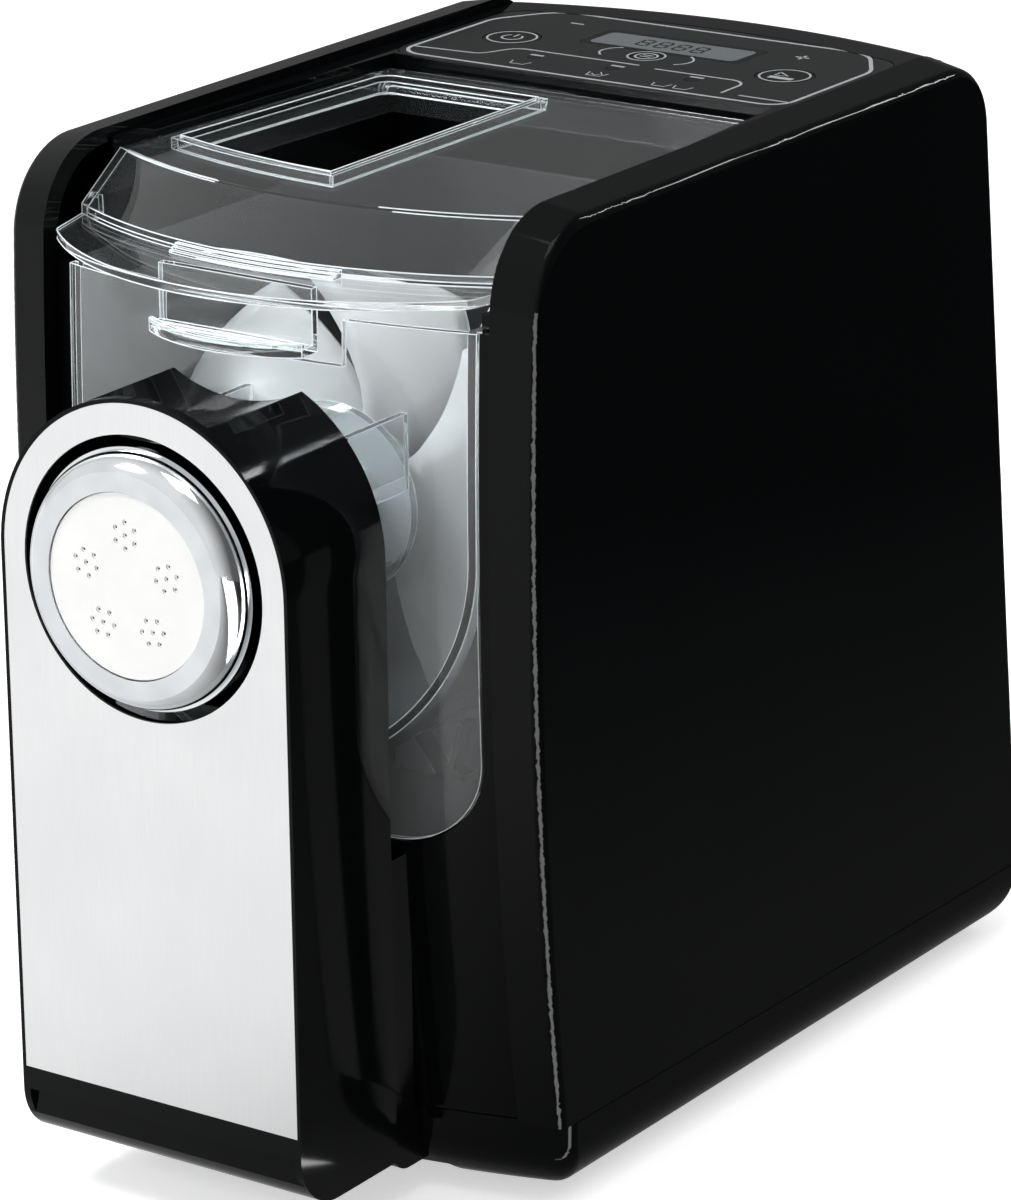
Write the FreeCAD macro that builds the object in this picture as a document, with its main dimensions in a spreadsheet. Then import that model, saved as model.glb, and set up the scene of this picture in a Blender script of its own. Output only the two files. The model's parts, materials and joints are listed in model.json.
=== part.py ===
import FreeCAD, Part
import math
import os
import Sketcher
from collections import namedtuple
from types import SimpleNamespace

# Electric pasta maker. Millimetres, X to the right, Y to the back, Z up.
# The origin is on the floor, below the middle of the whole machine.
# The screw, the paddle and the lock nut turn about one axis along Y, at axis_z.

DIMENSIONS = {
    # Body
    "half_width": 97.0,
    "band_width": 15.0,
    "band_drop": 2.4,
    "cover_wall": 2.5,
    "crown_z": 311.4,
    "ridge_radius": 3.5,
    "front_corner": 29.0,
    "back_corner": 23.5,
    "seam_front": 27.7,
    "seam_back": 24.0,
    "foot_front": 108.4,
    "shoulder_front": 118.0,
    "foot_back": 174.2,
    "lean_back": 31.8,
    "front_bow": 1400.0,
    "panel_gap": 0.3,
    # Front frame and window
    "frame_plan": 275.0,
    "frame_foot": 119.9,
    "frame_belly": 126.5,
    "frame_bow": 1800.0,
    "frame_wall": 2.5,
    "frame_top": 276.0,
    "window_half": 75.7,
    "window_low": 116.0,
    "window_corner": 28.0,
    "dock_half": 50.0,
    "dock_front": 131.5,
    "dock_top": 112.0,
    # Base tray and feet
    "base_low": 2.0,
    "base_roll": 18.0,
    "base_floor": 10.0,
    "skid_inner": 60.0,
    "skid_rise": 5.0,
    "nose_low": 8.0,
    "foot_radius": 8.0,
    "foot_rise": 4.0,
    "foot_x": 70.0,
    "foot_front_y": 72.0,
    "foot_back_y": 140.0,
    # Rear cover
    "rear_plan": 250.0,
    "rear_bulge": 188.5,
    "rear_top_bulge": 158.0,
    "rear_wall": 2.5,
    "vent_half": 30.0,
    "vent_high": 4.0,
    "vent_pitch": 9.0,
    "vent_count": 8.0,
    "vent_z": 70.0,
    "gland_x": 45.0,
    "gland_z": 46.0,
    "gland_bore": 3.6,
    "gland_radius": 6.0,
    "gland_flange": 9.0,
    # Top deck and controls
    "deck_z": 308.4,
    "deck_wall": 2.5,
    "deck_skirt": 27.4,
    "deck_front": 86.0,
    "deck_roll": 12.0,
    "overlay_thick": 0.5,
    "overlay_recess": 0.6,
    "overlay_half": 76.0,
    "overlay_front": 50.0,
    "overlay_back": 133.5,
    "overlay_corner": 12.0,
    "key_radius": 9.5,
    "mode_radius": 5.0,
    "key_gap": 0.3,
    "key_high": 5.4,
    "key_x": 52.4,
    "key_y": 89.0,
    "key_travel": 0.5,
    "display_half": 30.5,
    "display_front": 95.0,
    "display_back": 115.0,
    "light_pitch": 30.0,
    "light_y": 69.0,
    "board_z": 291.0,
    "board_thick": 1.6,
    "board_half": 66.0,
    "board_front": 62.0,
    "board_back": 124.0,
    # Lid
    "lid_z": 304.3,
    "lid_wall": 2.5,
    "lid_front": 103.0,
    "lid_front_plan": 172.0,
    "lid_half_front": 80.0,
    "lid_half_back": 71.5,
    "lid_back": 46.5,
    "lid_gap": 0.8,
    "lid_back_gap": 3.3,
    "ridge_z": 290.6,
    "ridge_front": 123.0,
    "ridge_plan": 166.0,
    "ridge_half": 81.0,
    "lip_z": 285.0,
    "lip_thick": 2.5,
    "lip_front": 152.0,
    "lip_plan": 108.0,
    "lip_half": 76.0,
    "tab_half": 28.0,
    "tab_low": 267.0,
    "tab_front": 146.0,
    "tab_plan": 52.0,
    "tab_wall_y": 130.0,
    "tab_rim": 1.5,
    "tab_rim_high": 4.0,
    "rib_pitch": 2.6,
    "rib_wide": 0.9,
    "lip_round": 6.0,
    "step_half": 30.0,
    "step_wide": 1.4,
    "slot_margin": 4.5,
    "slot_right": 7.5,
    "slot_front": 73.5,
    "slot_front_left": 61.0,
    "slot_back": 38.0,
    "slot_plan": 232.0,
    "slot_rim": 2.0,
    "slot_rim_deep": 6.0,
    "hinge_inset": 5.5,
    "hinge_pin": 2.0,
    "hinge_bore": 2.05,
    # Mixing chamber
    "axis_z": 206.2,
    "bucket_half": 73.5,
    "bucket_wall": 2.5,
    "bucket_back": 46.0,
    "bucket_top": 276.0,
    "window_gap": 0.8,
    "notch_half": 33.0,
    "notch_low": 262.0,
    "well_gap": 0.4,
    "well_wall": 2.5,
    "well_front": 112.0,
    "well_back": 52.0,
    "well_top": 281.0,
    "well_flange": 2.5,
    # Extrusion group
    "barrel_bore": 26.0,
    "barrel_radius": 30.0,
    "barrel_back": 84.0,
    "collar_radius": 41.0,
    "collar_back": 128.5,
    "collar_front": 139.5,
    "mouth_radius": 34.0,
    "mouth_front": 179.5,
    "lug_long": 30.0,
    "lug_high": 24.0,
    "lug_thick": 2.5,
    "lug_low": 8.0,
    "nut_radius": 40.1,
    "nut_skirt": 39.0,
    "nut_back": 150.0,
    "nut_rim_y": 181.5,
    "nut_face_y": 188.5,
    "nut_flat": 34.5,
    "nut_eye": 28.6,
    "nut_dome": 9.0,
    "nut_step": 0.9,
    "nut_bead": 4.0,
    "die_thick": 6.0,
    "die_radius": 33.6,
    "die_hole": 0.9,
    "die_ring": 4.0,
    "die_cluster": 15.5,
    "die_boss_step": 0.7,
    "screw_core": 9.0,
    "screw_radius": 25.3,
    "screw_pitch": 22.0,
    "screw_front": 174.0,
    "flight_thick": 3.0,
    "screw_turns": 3.9,
    "plug_long": 18.0,
    "paddle_hub": 14.0,
    "hub_front_radius": 25.0,
    "paddle_back": 41.0,
    "paddle_reach": 68.0,
    "blade_wide": 34.0,
    "blade_thick": 5.0,
    "blade_first": -44.0,
    "blade_pitch": 32.0,
    "blade_turn": 40.0,
    # Front cover and face plate
    "cover_half": 52.6,
    "arch_rise": 1.8,
    "cover_front": 180.8,
    "cover_back": 132.4,
    "cover_low": 16.0,
    "cover_roll": 18.0,
    "cover_shell": 2.5,
    "cover_face": 3.0,
    "cover_step": 34.8,
    "cover_inset": 2.2,
    "scoop_radius": 49.0,
    "scoop_low": 249.0,
    "scoop_front": 177.5,
    "scoop_shoulder": 28.0,
    "scoop_bow": 171.6,
    "plate_thick": 0.8,
    "plate_rim": 1.2,
    "plate_low": 40.9,
    "plate_hole": 43.7,
    # Drive
    "shaft_radius": 8.0,
    "hex_radius": 6.9,
    "hex_front": 8.0,
    "socket_gap": 0.08,
    "gear_front": 66.0,
    "gear_wide": 10.0,
    "mid_wide": 5.0,
    "low_wide": 4.0,
    "module_out": 1.5,
    "module_mid": 1.25,
    "module_in": 1.0,
    "large_teeth": 48.0,
    "small_teeth": 12.0,
    "box_front": 54.0,
    "box_back": 96.0,
    "box_wall": 3.0,
    "box_half": 43.0,
    "box_top": 250.0,
    "box_low": 58.0,
    "box_corner": 28.0,
    "axle_radius": 4.0,
    "axle_gap": 0.06,
    "bearing_radius": 15.0,
    "bearing_wide": 6.0,
    "seal_ahead": 5.5,
    "seal_wide": 4.0,
    "pillar_x": 20.0,
    "screw_long": 10.0,
    "motor_radius": 28.0,
    "motor_long": 72.0,
    "motor_shaft": 3.0,
    "fan_radius": 23.0,
    "fan_ahead": 9.0,
    "fan_wide": 6.0,
    "fan_blades": 7.0,
    # Supports, boards and interlock
    "mount_half": 24.0,
    "stand_half": 28.0,
    "stand_front": 62.0,
    "stand_back": 90.0,
    "mount_front": -4.0,
    "mount_back": 36.0,
    "mount_top": 80.0,
    "screw_stem": 1.6,
    "screw_head": 3.2,
    "power_half": 45.0,
    "power_long": 54.0,
    "power_gap": 3.0,
    "power_z": 20.0,
    "rod_x": 79.3,
    "rod_y": 106.0,
    "rod_radius": 1.2,
    "rod_low": 270.0,
    "switch_top": 267.0,
    "switch_high": 17.0,
    "switch_wide": 10.0,
}

doc = FreeCAD.newDocument("PastaMaker")
sheet = doc.addObject("Spreadsheet::Sheet", "Sizes")
for row, (alias, number) in enumerate(DIMENSIONS.items(), start=1):
    sheet.set(f"A{row}", alias)
    sheet.set(f"B{row}", str(number))
    sheet.setAlias(f"B{row}", alias)
doc.recompute()


class Size:
    """A number that remembers the sheet formula it comes from."""

    def __init__(self, value, formula):
        self.value = value
        self.formula = formula

    def __add__(self, other):
        return Size(self.value + number_of(other), f"({self.formula} + {formula_of(other)})")

    def __sub__(self, other):
        return Size(self.value - number_of(other), f"({self.formula} - {formula_of(other)})")

    def __rsub__(self, other):
        return Size(number_of(other) - self.value, f"({formula_of(other)} - {self.formula})")

    def __mul__(self, other):
        return Size(self.value * number_of(other), f"({self.formula} * {formula_of(other)})")

    def __truediv__(self, other):
        return Size(self.value / number_of(other), f"({self.formula} / {formula_of(other)})")

    def __neg__(self):
        return Size(-self.value, f"(0 - {self.formula})")

    __radd__ = __add__
    __rmul__ = __mul__


def number_of(item):
    return item.value if isinstance(item, Size) else float(item)


def formula_of(item):
    return item.formula if isinstance(item, Size) else repr(float(item))


def root(item):
    """Square root of a size."""
    return Size(math.sqrt(item.value), f"sqrt({item.formula})")


def slope_angle(rise, run):
    """Angle of a slope in degrees."""
    degrees = math.degrees(math.atan2(rise.value, run.value))
    return Size(degrees, f"(atan({rise.formula} / {run.formula}) / 1 deg)")


def sagitta(radius, half):
    """How far an arc of this radius drops back at half its chord."""
    return radius - root(radius * radius - half * half)


d = SimpleNamespace(**{alias: Size(number, f"Sizes.{alias}") for alias, number in DIMENSIONS.items()})

# Drawing and feature helpers

Disc = namedtuple("Disc", "across up radius")
NORMAL_SIGN = {"XY": 1, "XZ": -1, "YZ": 1}
plane_of = {}


def new_body(name, place_y=None, place_z=None):
    """A body whose own frame may be moved along Y or Z, so that it can turn about an axis there."""
    body = doc.addObject("PartDesign::Body", name)
    body.Label = name
    if place_y is not None:
        body.setExpression("Placement.Base.y", formula_of(place_y))
    if place_z is not None:
        body.setExpression("Placement.Base.z", formula_of(place_z))
    return body


def arc_between(start, end, bend):
    """Arc of radius abs(bend); it swells to the right of its way when bend is positive."""
    chord = end - start
    left = FreeCAD.Vector(-chord.y, chord.x, 0).normalize()
    depth = math.sqrt(max(bend * bend - chord.Length ** 2 / 4, 0.0))
    centre = (start + end) * 0.5 + left * (depth if bend > 0 else -depth)
    first, last = (start, end) if bend > 0 else (end, start)
    from_angle = math.atan2(first.y - centre.y, first.x - centre.x)
    to_angle = math.atan2(last.y - centre.y, last.x - centre.x)
    circle = Part.Circle(centre, FreeCAD.Vector(0, 0, 1), abs(bend))
    return Part.ArcOfCircle(circle, from_angle, to_angle)


def add_loop(sketch, corners):
    """Closed outline; a corner is (across, up), or (across, up, bend) when an arc starts there."""
    first = sketch.GeometryCount
    points = [FreeCAD.Vector(number_of(c[0]), number_of(c[1]), 0) for c in corners]
    ends = []
    rules = []
    formulas = []
    for index, corner in enumerate(corners):
        start = points[index]
        end = points[(index + 1) % len(points)]
        if len(corner) == 3:
            sketch.addGeometry(arc_between(start, end, number_of(corner[2])), False)
            ends.append((1, 2) if number_of(corner[2]) > 0 else (2, 1))
        else:
            sketch.addGeometry(Part.LineSegment(start, end), False)
            ends.append((1, 2))
    for index, corner in enumerate(corners):
        here = first + index
        after = first + (index + 1) % len(corners)
        begin = ends[index][0]
        rules.append(Sketcher.Constraint("Coincident", here, ends[index][1], after, ends[after - first][0]))
        formulas.append(None)
        rules.append(Sketcher.Constraint("DistanceX", -1, 1, here, begin, number_of(corner[0])))
        formulas.append(corner[0])
        rules.append(Sketcher.Constraint("DistanceY", -1, 1, here, begin, number_of(corner[1])))
        formulas.append(corner[1])
        if len(corner) == 3:
            bend = corner[2] if number_of(corner[2]) > 0 else -corner[2]
            rules.append(Sketcher.Constraint("Radius", here, number_of(bend)))
            formulas.append(bend)
    bind_rules(sketch, rules, formulas)


def add_disc(sketch, disc):
    """Full circle."""
    here = sketch.GeometryCount
    centre = FreeCAD.Vector(number_of(disc.across), number_of(disc.up), 0)
    sketch.addGeometry(Part.Circle(centre, FreeCAD.Vector(0, 0, 1), number_of(disc.radius)), False)
    rules = [
        Sketcher.Constraint("DistanceX", -1, 1, here, 3, centre.x),
        Sketcher.Constraint("DistanceY", -1, 1, here, 3, centre.y),
        Sketcher.Constraint("Radius", here, number_of(disc.radius)),
    ]
    bind_rules(sketch, rules, list(disc))


def bind_rules(sketch, rules, formulas):
    """Adds the constraints and binds those that a sheet formula drives."""
    first = sketch.ConstraintCount
    sketch.addConstraint(rules)
    for index, item in enumerate(formulas):
        if isinstance(item, Size):
            sketch.setExpression(f"Constraints[{first + index}]", item.formula)


def draw(body, name, plane, at, *loops):
    """Sketch on an origin plane of the body, which lies at this place along its own axis."""
    sketch = body.newObject("Sketcher::SketchObject", name)
    role = plane + "_Plane"
    support = [item for item in body.Origin.OriginFeatures if item.Role == role][0]
    sketch.AttachmentSupport = [(support, "")]
    sketch.MapMode = "FlatFace"
    sketch.setExpression("AttachmentOffset.Base.z", formula_of(at * NORMAL_SIGN[plane]))
    for loop in loops:
        if isinstance(loop, Disc):
            add_disc(sketch, loop)
        else:
            add_loop(sketch, loop)
    plane_of[sketch.Name] = plane
    return sketch


def pad(body, sketch, length, toward=1, both=False, taper=None):
    """Solid from a sketch, towards the positive or negative side of its axis, or both ways."""
    item = body.newObject("PartDesign::Pad", sketch.Name + "Pad")
    item.Profile = sketch
    item.setExpression("Length", formula_of(length))
    item.Reversed = toward * NORMAL_SIGN[plane_of[sketch.Name]] < 0
    if both:
        item.SideType = "Symmetric"
    if taper is not None:
        item.setExpression("TaperAngle", formula_of(taper))
    sketch.Visibility = False
    doc.recompute()
    return item


def cut(body, sketch, length, toward=1, both=False):
    """Pocket from a sketch; it stops the build if it removes nothing."""
    before = body.Shape.Volume
    item = body.newObject("PartDesign::Pocket", sketch.Name + "Cut")
    item.Profile = sketch
    item.setExpression("Length", formula_of(length))
    item.Reversed = toward * NORMAL_SIGN[plane_of[sketch.Name]] > 0
    if both:
        item.SideType = "Symmetric"
    doc.recompute()
    if body.Shape.Volume > before - 1e-3:
        raise RuntimeError(f"{item.Name} cuts nothing")
    return item


def axis_line(body, axis):
    """One of the body's own origin axes."""
    return [item for item in body.Origin.OriginFeatures if item.Role == axis + "_Axis"][0]


def turn(body, sketch, axis="Y", angle=360.0, groove=False):
    """Revolution or groove about an axis of the body, to both sides of the sketch."""
    kind = "Groove" if groove else "Revolution"
    item = body.newObject("PartDesign::" + kind, sketch.Name + kind)
    item.Profile = sketch
    item.ReferenceAxis = (axis_line(body, axis), [""])
    item.Midplane = angle < 360.0
    item.Angle = angle
    doc.recompute()
    return item


def dress(body, kind, name, radius, chosen):
    """Fillet or chamfer on the edges that the test picks from the body as it stands."""
    tip = body.Tip
    names = [f"Edge{index + 1}" for index, edge in enumerate(tip.Shape.Edges) if chosen(edge)]
    if not names:
        raise RuntimeError(f"{name} finds no edge")
    item = body.newObject("PartDesign::" + kind, name)
    item.Base = (tip, names)
    item.setExpression("Radius" if kind == "Fillet" else "Size", formula_of(radius))
    doc.recompute()
    return item


def pattern(body, name, feature, count, axis):
    """Copies of a feature all round an axis of the body."""
    item = body.newObject("PartDesign::PolarPattern", name)
    item.Originals = [feature]
    item.Axis = (axis_line(body, axis), [""])
    item.Angle = 360.0
    item.setExpression("Occurrences", formula_of(count))
    body.Tip = item
    doc.recompute()
    return item


def ends_near(edge, spots, reach=0.05):
    """Whether both ends of an edge lie at one of these spots, where None means any place."""
    for vertex in (edge.Vertexes[0], edge.Vertexes[-1]):
        point = (vertex.X, vertex.Y, vertex.Z)
        if not any(all(s is None or abs(s - p) < reach for s, p in zip(spot, point)) for spot in spots):
            return False
    return True


def rounded_box(left, low, right, high, radius):
    """Corners of a rectangle with four round corners."""
    return [
        (left + radius, low), (right - radius, low, radius), (right, low + radius),
        (right, high - radius, radius), (right - radius, high), (left + radius, high, radius),
        (left, high - radius), (left, low + radius, radius),
    ]


def box_corners(left, low, right, high):
    """Corners of a plain rectangle."""
    return [(left, low), (right, low), (right, high), (left, high)]


def rod(name, radius, start, long, across=0.0, up=0.0, axis="Y"):
    """Plain cylinder along one axis, from its start coordinate; across and up place it in the others."""
    item = doc.addObject("Part::Cylinder", name)
    item.setExpression("Radius", formula_of(radius))
    item.setExpression("Height", formula_of(long))
    if axis == "Y":
        item.Placement.Rotation = FreeCAD.Rotation(FreeCAD.Vector(1, 0, 0), -90)
        place = (across, start, up)
    elif axis == "X":
        item.Placement.Rotation = FreeCAD.Rotation(FreeCAD.Vector(0, 1, 0), 90)
        place = (start, across, up)
    else:
        place = (across, up, start)
    for letter, value in zip("xyz", place):
        item.setExpression("Placement.Base." + letter, formula_of(value))
    return item


def block(name, low, high):
    """Plain box between two corners."""
    item = doc.addObject("Part::Box", name)
    for prop, letter, start, end in zip(("Length", "Width", "Height"), "xyz", low, high):
        item.setExpression(prop, formula_of(end - start))
        item.setExpression("Placement.Base." + letter, formula_of(start))
    return item


def join(name, *pieces):
    """Union of solids, or a group of separate ones that don't touch."""
    item = doc.addObject("Part::MultiFuse", name)
    item.Shapes = list(pieces)
    item.Label = name
    return item


def without(name, base, *tools):
    """One solid with others cut out of it."""
    item = doc.addObject("Part::Cut", name)
    item.Base = base
    item.Tool = tools[0] if len(tools) == 1 else join(name + "_tools", *tools)
    item.Label = name
    return item


nodes = []


def keep(item, name=None):
    """Marks a finished sub-part; its Label names its file."""
    if name is not None:
        item.Label = name
    nodes.append(item)
    return item


# Places that several pieces share

band_inner = d.half_width - d.band_width
band_taper = slope_angle(d.band_drop, d.band_width)
panel_half = band_inner - d.panel_gap
frame_axis_y = d.frame_plan - d.frame_belly
rear_axis_y = d.rear_bulge - d.rear_plan
seam_slope = (d.seam_back - d.seam_front) / (d.foot_back + d.foot_front)


def seam_at(y):
    """Height of the seam between base and body at this depth."""
    return d.seam_front + (y + d.foot_front) * seam_slope


def window_loop(gap, top):
    """Outline of the window in the front frame, drawn in by a gap."""
    half = d.window_half - gap
    low = d.window_low + gap
    corner = d.window_corner - gap
    return [
        (-half, top), (-half, low + corner, corner), (-half + corner, low), (half - corner, low, corner),
        (half, low + corner), (half, top),
    ]


def trough_loop(radius, top):
    """U outline round the screw axis, open side up."""
    return [
        (-radius, d.axis_z, radius), (0.0, d.axis_z - radius, radius), (radius, d.axis_z),
        (radius, top), (-radius, top),
    ]


def bow_strip(outer, inner, low, high):
    """Section of the front wall: its outer and inner bow, in the frame of the vertical plan axis."""
    foot_out = -(d.frame_foot + frame_axis_y)
    top_out = -(d.frame_belly + frame_axis_y)
    return [
        (foot_out + outer, low), (foot_out + inner, low, -d.frame_bow), (top_out + inner, high),
        (top_out + outer, high, d.frame_bow),
    ]


def side_cover(name, side):
    """Shell of one side: a flat panel with a tapered band round its front, top and back edges."""
    body = new_body(name)
    low = d.seam_back - 12.0
    profile = [
        (-d.foot_front, low), (d.foot_back, low), (d.foot_back - d.lean_back, d.crown_z),
        (-d.shoulder_front, d.crown_z, d.front_bow),
    ]
    outline = draw(body, name + "_profile", "YZ", band_inner * side, profile)
    pad(body, outline, d.band_width, toward=side, taper=-band_taper)
    top = number_of(d.crown_z)
    fronts = -number_of(d.shoulder_front)
    backs = number_of(d.foot_back - d.lean_back)
    dress(body, "Fillet", name + "_front_corner", d.front_corner,
          lambda e: ends_near(e, [(None, fronts, top)], 8) and e.Length > 8)
    dress(body, "Fillet", name + "_back_corner", d.back_corner,
          lambda e: ends_near(e, [(None, backs, top)], 8) and e.Length > 8)
    outer = number_of(d.half_width) * side
    dress(body, "Fillet", name + "_ridge", d.ridge_radius,
          lambda e: ends_near(e, [(outer, None, None)]) and e.BoundBox.ZMax > number_of(low) + 1)
    inset = d.cover_wall + d.band_drop
    front_turn = d.front_corner - inset
    back_turn = d.back_corner - inset
    back_shift = d.lean_back * back_turn / (d.crown_z - low)
    hollow = [
        (-d.foot_front + inset, low - 5.0), (d.foot_back - inset, low - 5.0),
        (d.foot_back - d.lean_back - inset + back_shift, d.crown_z - inset - back_turn, back_turn * 1.03),
        (d.foot_back - d.lean_back - inset - back_turn, d.crown_z - inset),
        (-d.shoulder_front + inset + front_turn, d.crown_z - inset, front_turn * 1.03),
        (-d.shoulder_front + inset, d.crown_z - inset - front_turn, d.front_bow),
    ]
    inside = draw(body, name + "_hollow", "YZ", band_inner * side, hollow)
    cut(body, inside, d.band_width - d.cover_wall, toward=side)
    below = [
        (-d.foot_front - 10.0, seam_at(-d.foot_front - 10.0) + d.panel_gap),
        (-d.foot_front - 10.0, low - 5.0), (d.foot_back + 10.0, low - 5.0),
        (d.foot_back + 10.0, seam_at(d.foot_back + 10.0) + d.panel_gap),
    ]
    seam = draw(body, name + "_seam", "YZ", 0.0, below)
    cut(body, seam, d.half_width * 3.0, both=True)
    return body


keep(side_cover("side_cover_left", -1))
keep(side_cover("side_cover_right", 1))

# Front frame: a wall that bows in side view and in plan, with the window and the dock

frame = new_body("front_frame", place_y=frame_axis_y)
frame_low = d.seam_front + d.panel_gap
strip = draw(frame, "frame_strip", "YZ", 0.0,
             bow_strip(0.0, d.frame_wall, frame_low, d.frame_top))
turn(frame, strip, axis="Z", angle=46.0)
sides = draw(frame, "frame_sides", "XY", d.frame_top + 5.0,
             box_corners(panel_half, -d.frame_plan * 1.2, panel_half * 2.0, -d.frame_plan * 0.6),
             box_corners(-panel_half * 2.0, -d.frame_plan * 1.2, -panel_half, -d.frame_plan * 0.6))
cut(frame, sides, d.frame_top, toward=-1)
window = draw(frame, "frame_window", "XZ", -d.frame_plan * 0.7,
              window_loop(0.0, d.frame_top + 10.0))
cut(frame, window, d.frame_plan * 0.5, toward=-1)
dock = draw(frame, "frame_dock", "XZ", -(d.dock_front + frame_axis_y),
            box_corners(-d.dock_half, frame_low, d.dock_half, d.dock_top))
pad(frame, dock, d.dock_front - d.frame_belly + sagitta(d.frame_plan, d.dock_half) + d.frame_wall)
dress(frame, "Fillet", "frame_dock_round", d.frame_wall,
      lambda e: ends_near(e, [(None, -number_of(d.dock_front + frame_axis_y), None)]) and
      e.Length > 20 and abs(e.Vertexes[0].Z - e.Vertexes[-1].Z) < number_of(d.dock_top) and
      not ends_near(e, [(None, None, number_of(frame_low))]))
keep(frame)

# Base tray: plan outline with rolled lower edges, side skids, and the nose below the dock

tray = new_body("base_tray")
front_corner_y = -d.frame_foot + sagitta(d.frame_plan, d.half_width)
back_corner_y = d.rear_bulge - sagitta(d.rear_plan, d.half_width)
plan = [
    (-d.half_width, front_corner_y, d.frame_plan), (d.half_width, front_corner_y),
    (d.half_width, back_corner_y, d.rear_plan), (-d.half_width, back_corner_y),
]
pad(tray, draw(tray, "tray_plan", "XY", d.base_low, plan), d.seam_front + 6.0)
dress(tray, "Fillet", "tray_corners", d.ridge_radius,
      lambda e: abs(e.Vertexes[0].Z - e.Vertexes[-1].Z) > number_of(d.seam_front) * 0.8)
base_z = number_of(d.base_low)
dress(tray, "Fillet", "tray_roll", d.base_roll,
      lambda e: ends_near(e, [(None, None, base_z)]) and e.BoundBox.XLength > 100)
over_seam = [
    (-d.rear_bulge, seam_at(-d.rear_bulge)), (d.rear_bulge + 20.0, seam_at(d.rear_bulge + 20.0)),
    (d.rear_bulge + 20.0, d.seam_front + 60.0), (-d.rear_bulge, d.seam_front + 60.0),
]
cut(tray, draw(tray, "tray_seam", "YZ", 0.0, over_seam), d.half_width * 3.0, both=True)
inside_half = d.half_width - d.ridge_radius
tray_front_in = -front_corner_y - d.base_roll
tray_back_in = back_corner_y - d.base_roll
hollow = draw(tray, "tray_hollow", "XY", d.base_floor,
              rounded_box(-inside_half, -tray_front_in, inside_half, tray_back_in, d.ridge_radius))
cut(tray, hollow, d.seam_front * 2.0, toward=1)
under = draw(tray, "tray_under", "XZ", -d.rear_bulge, [
    (-d.skid_inner, d.base_low - 1.0), (d.skid_inner, d.base_low - 1.0),
    (d.skid_inner - d.skid_rise, d.base_low + d.skid_rise), (d.skid_rise - d.skid_inner, d.base_low + d.skid_rise),
])
cut(tray, under, d.rear_bulge * 2.0, toward=1)
nose_low = d.base_low + d.nose_low
nose = draw(tray, "tray_nose", "YZ", 0.0, [
    (-d.dock_front, seam_at(-d.dock_front)), (-d.dock_front, nose_low + d.base_roll * 0.5, d.base_roll * 0.5),
    (-d.dock_front + d.base_roll * 0.5, nose_low), (-tray_front_in - d.base_roll * 0.5, nose_low),
    (-tray_front_in - d.base_roll * 0.5, seam_at(-tray_front_in - d.base_roll * 0.5)),
])
pad(tray, nose, d.dock_half * 2.0, both=True)
foot_seats = draw(tray, "tray_foot_seats", "XY", d.base_low - 1.0,
                  *[Disc(d.foot_x * side, y, d.foot_radius + d.panel_gap)
                    for side in (-1, 1) for y in (-d.foot_front_y, d.foot_back_y)])
cut(tray, foot_seats, d.foot_rise - d.base_low + 1.0, toward=1)
power_back = tray_back_in - d.power_gap
power_front = power_back - d.power_long
power_corners = [(side * (d.power_half - 5.0), y) for side in (-1, 1)
                 for y in (power_front + 5.0, power_back - 5.0)]
pad(tray, draw(tray, "tray_board_posts", "XY", d.base_floor, *[Disc(x, y, 4.0) for x, y in power_corners]),
    d.power_z - d.base_floor)
base_screw_spots = [(side * d.stand_half * 0.75, y) for side in (-1, 1)
                    for y in (d.stand_front + 6.0, d.stand_back - 6.0, d.mount_front + 6.0, d.mount_back - 6.0)]
cut(tray, draw(tray, "tray_screw_holes", "XY", d.base_low,
               *[Disc(x, y, d.screw_stem + 0.1) for x, y in base_screw_spots]), d.base_floor, toward=1)
keep(tray)

feet = [rod(f"foot_{index}", d.foot_radius, 0.0, d.foot_rise, d.foot_x * side, y, axis="Z")
        for index, (side, y) in enumerate([(-1, -d.foot_front_y), (1, -d.foot_front_y),
                                           (-1, d.foot_back_y), (1, d.foot_back_y)])]
keep(join("rubber_feet", *feet))

# Rear cover: a leaning wall that bulges in plan, with vent slots and the cord gland's hole

rear = new_body("rear_cover", place_y=rear_axis_y)
rear_low = d.seam_front
rear_high = d.deck_z - d.deck_skirt - d.panel_gap
rear_slope = (d.rear_top_bulge - d.rear_bulge) / (d.deck_z - d.seam_back)
rear_foot = d.rear_plan
rear_head = d.rear_plan + rear_slope * (rear_high - rear_low)
rear_strip = draw(rear, "rear_strip", "YZ", 0.0, [
    (rear_foot - d.rear_wall, rear_low), (rear_foot, rear_low), (rear_head, rear_high),
    (rear_head - d.rear_wall, rear_high),
])
turn(rear, rear_strip, axis="Z", angle=50.0)
rear_sides = draw(rear, "rear_sides", "XY", rear_high + 5.0,
                  box_corners(panel_half, d.rear_plan * 0.6, panel_half * 2.0, d.rear_plan * 1.2),
                  box_corners(-panel_half * 2.0, d.rear_plan * 0.6, -panel_half, d.rear_plan * 1.2))
cut(rear, rear_sides, rear_high, toward=-1)
vent = draw(rear, "rear_vent", "XZ", d.rear_plan * 0.7,
            rounded_box(-d.vent_half, d.vent_z, d.vent_half, d.vent_z + d.vent_high, d.vent_high * 0.45))
vent_cut = cut(rear, vent, d.rear_plan * 0.5, toward=1)
vents = rear.newObject("PartDesign::LinearPattern", "rear_vents")
vents.Originals = [vent_cut]
vents.Direction = (axis_line(rear, "Z"), [""])
vents.setExpression("Length", formula_of(d.vent_pitch * (d.vent_count - 1.0)))
vents.setExpression("Occurrences", formula_of(d.vent_count))
rear.Tip = vents
doc.recompute()
cut(rear, draw(rear, "rear_gland_hole", "XZ", d.rear_plan * 0.7, Disc(d.gland_x, d.gland_z, d.gland_radius)),
    d.rear_plan * 0.5, toward=1)
keep(rear)

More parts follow.
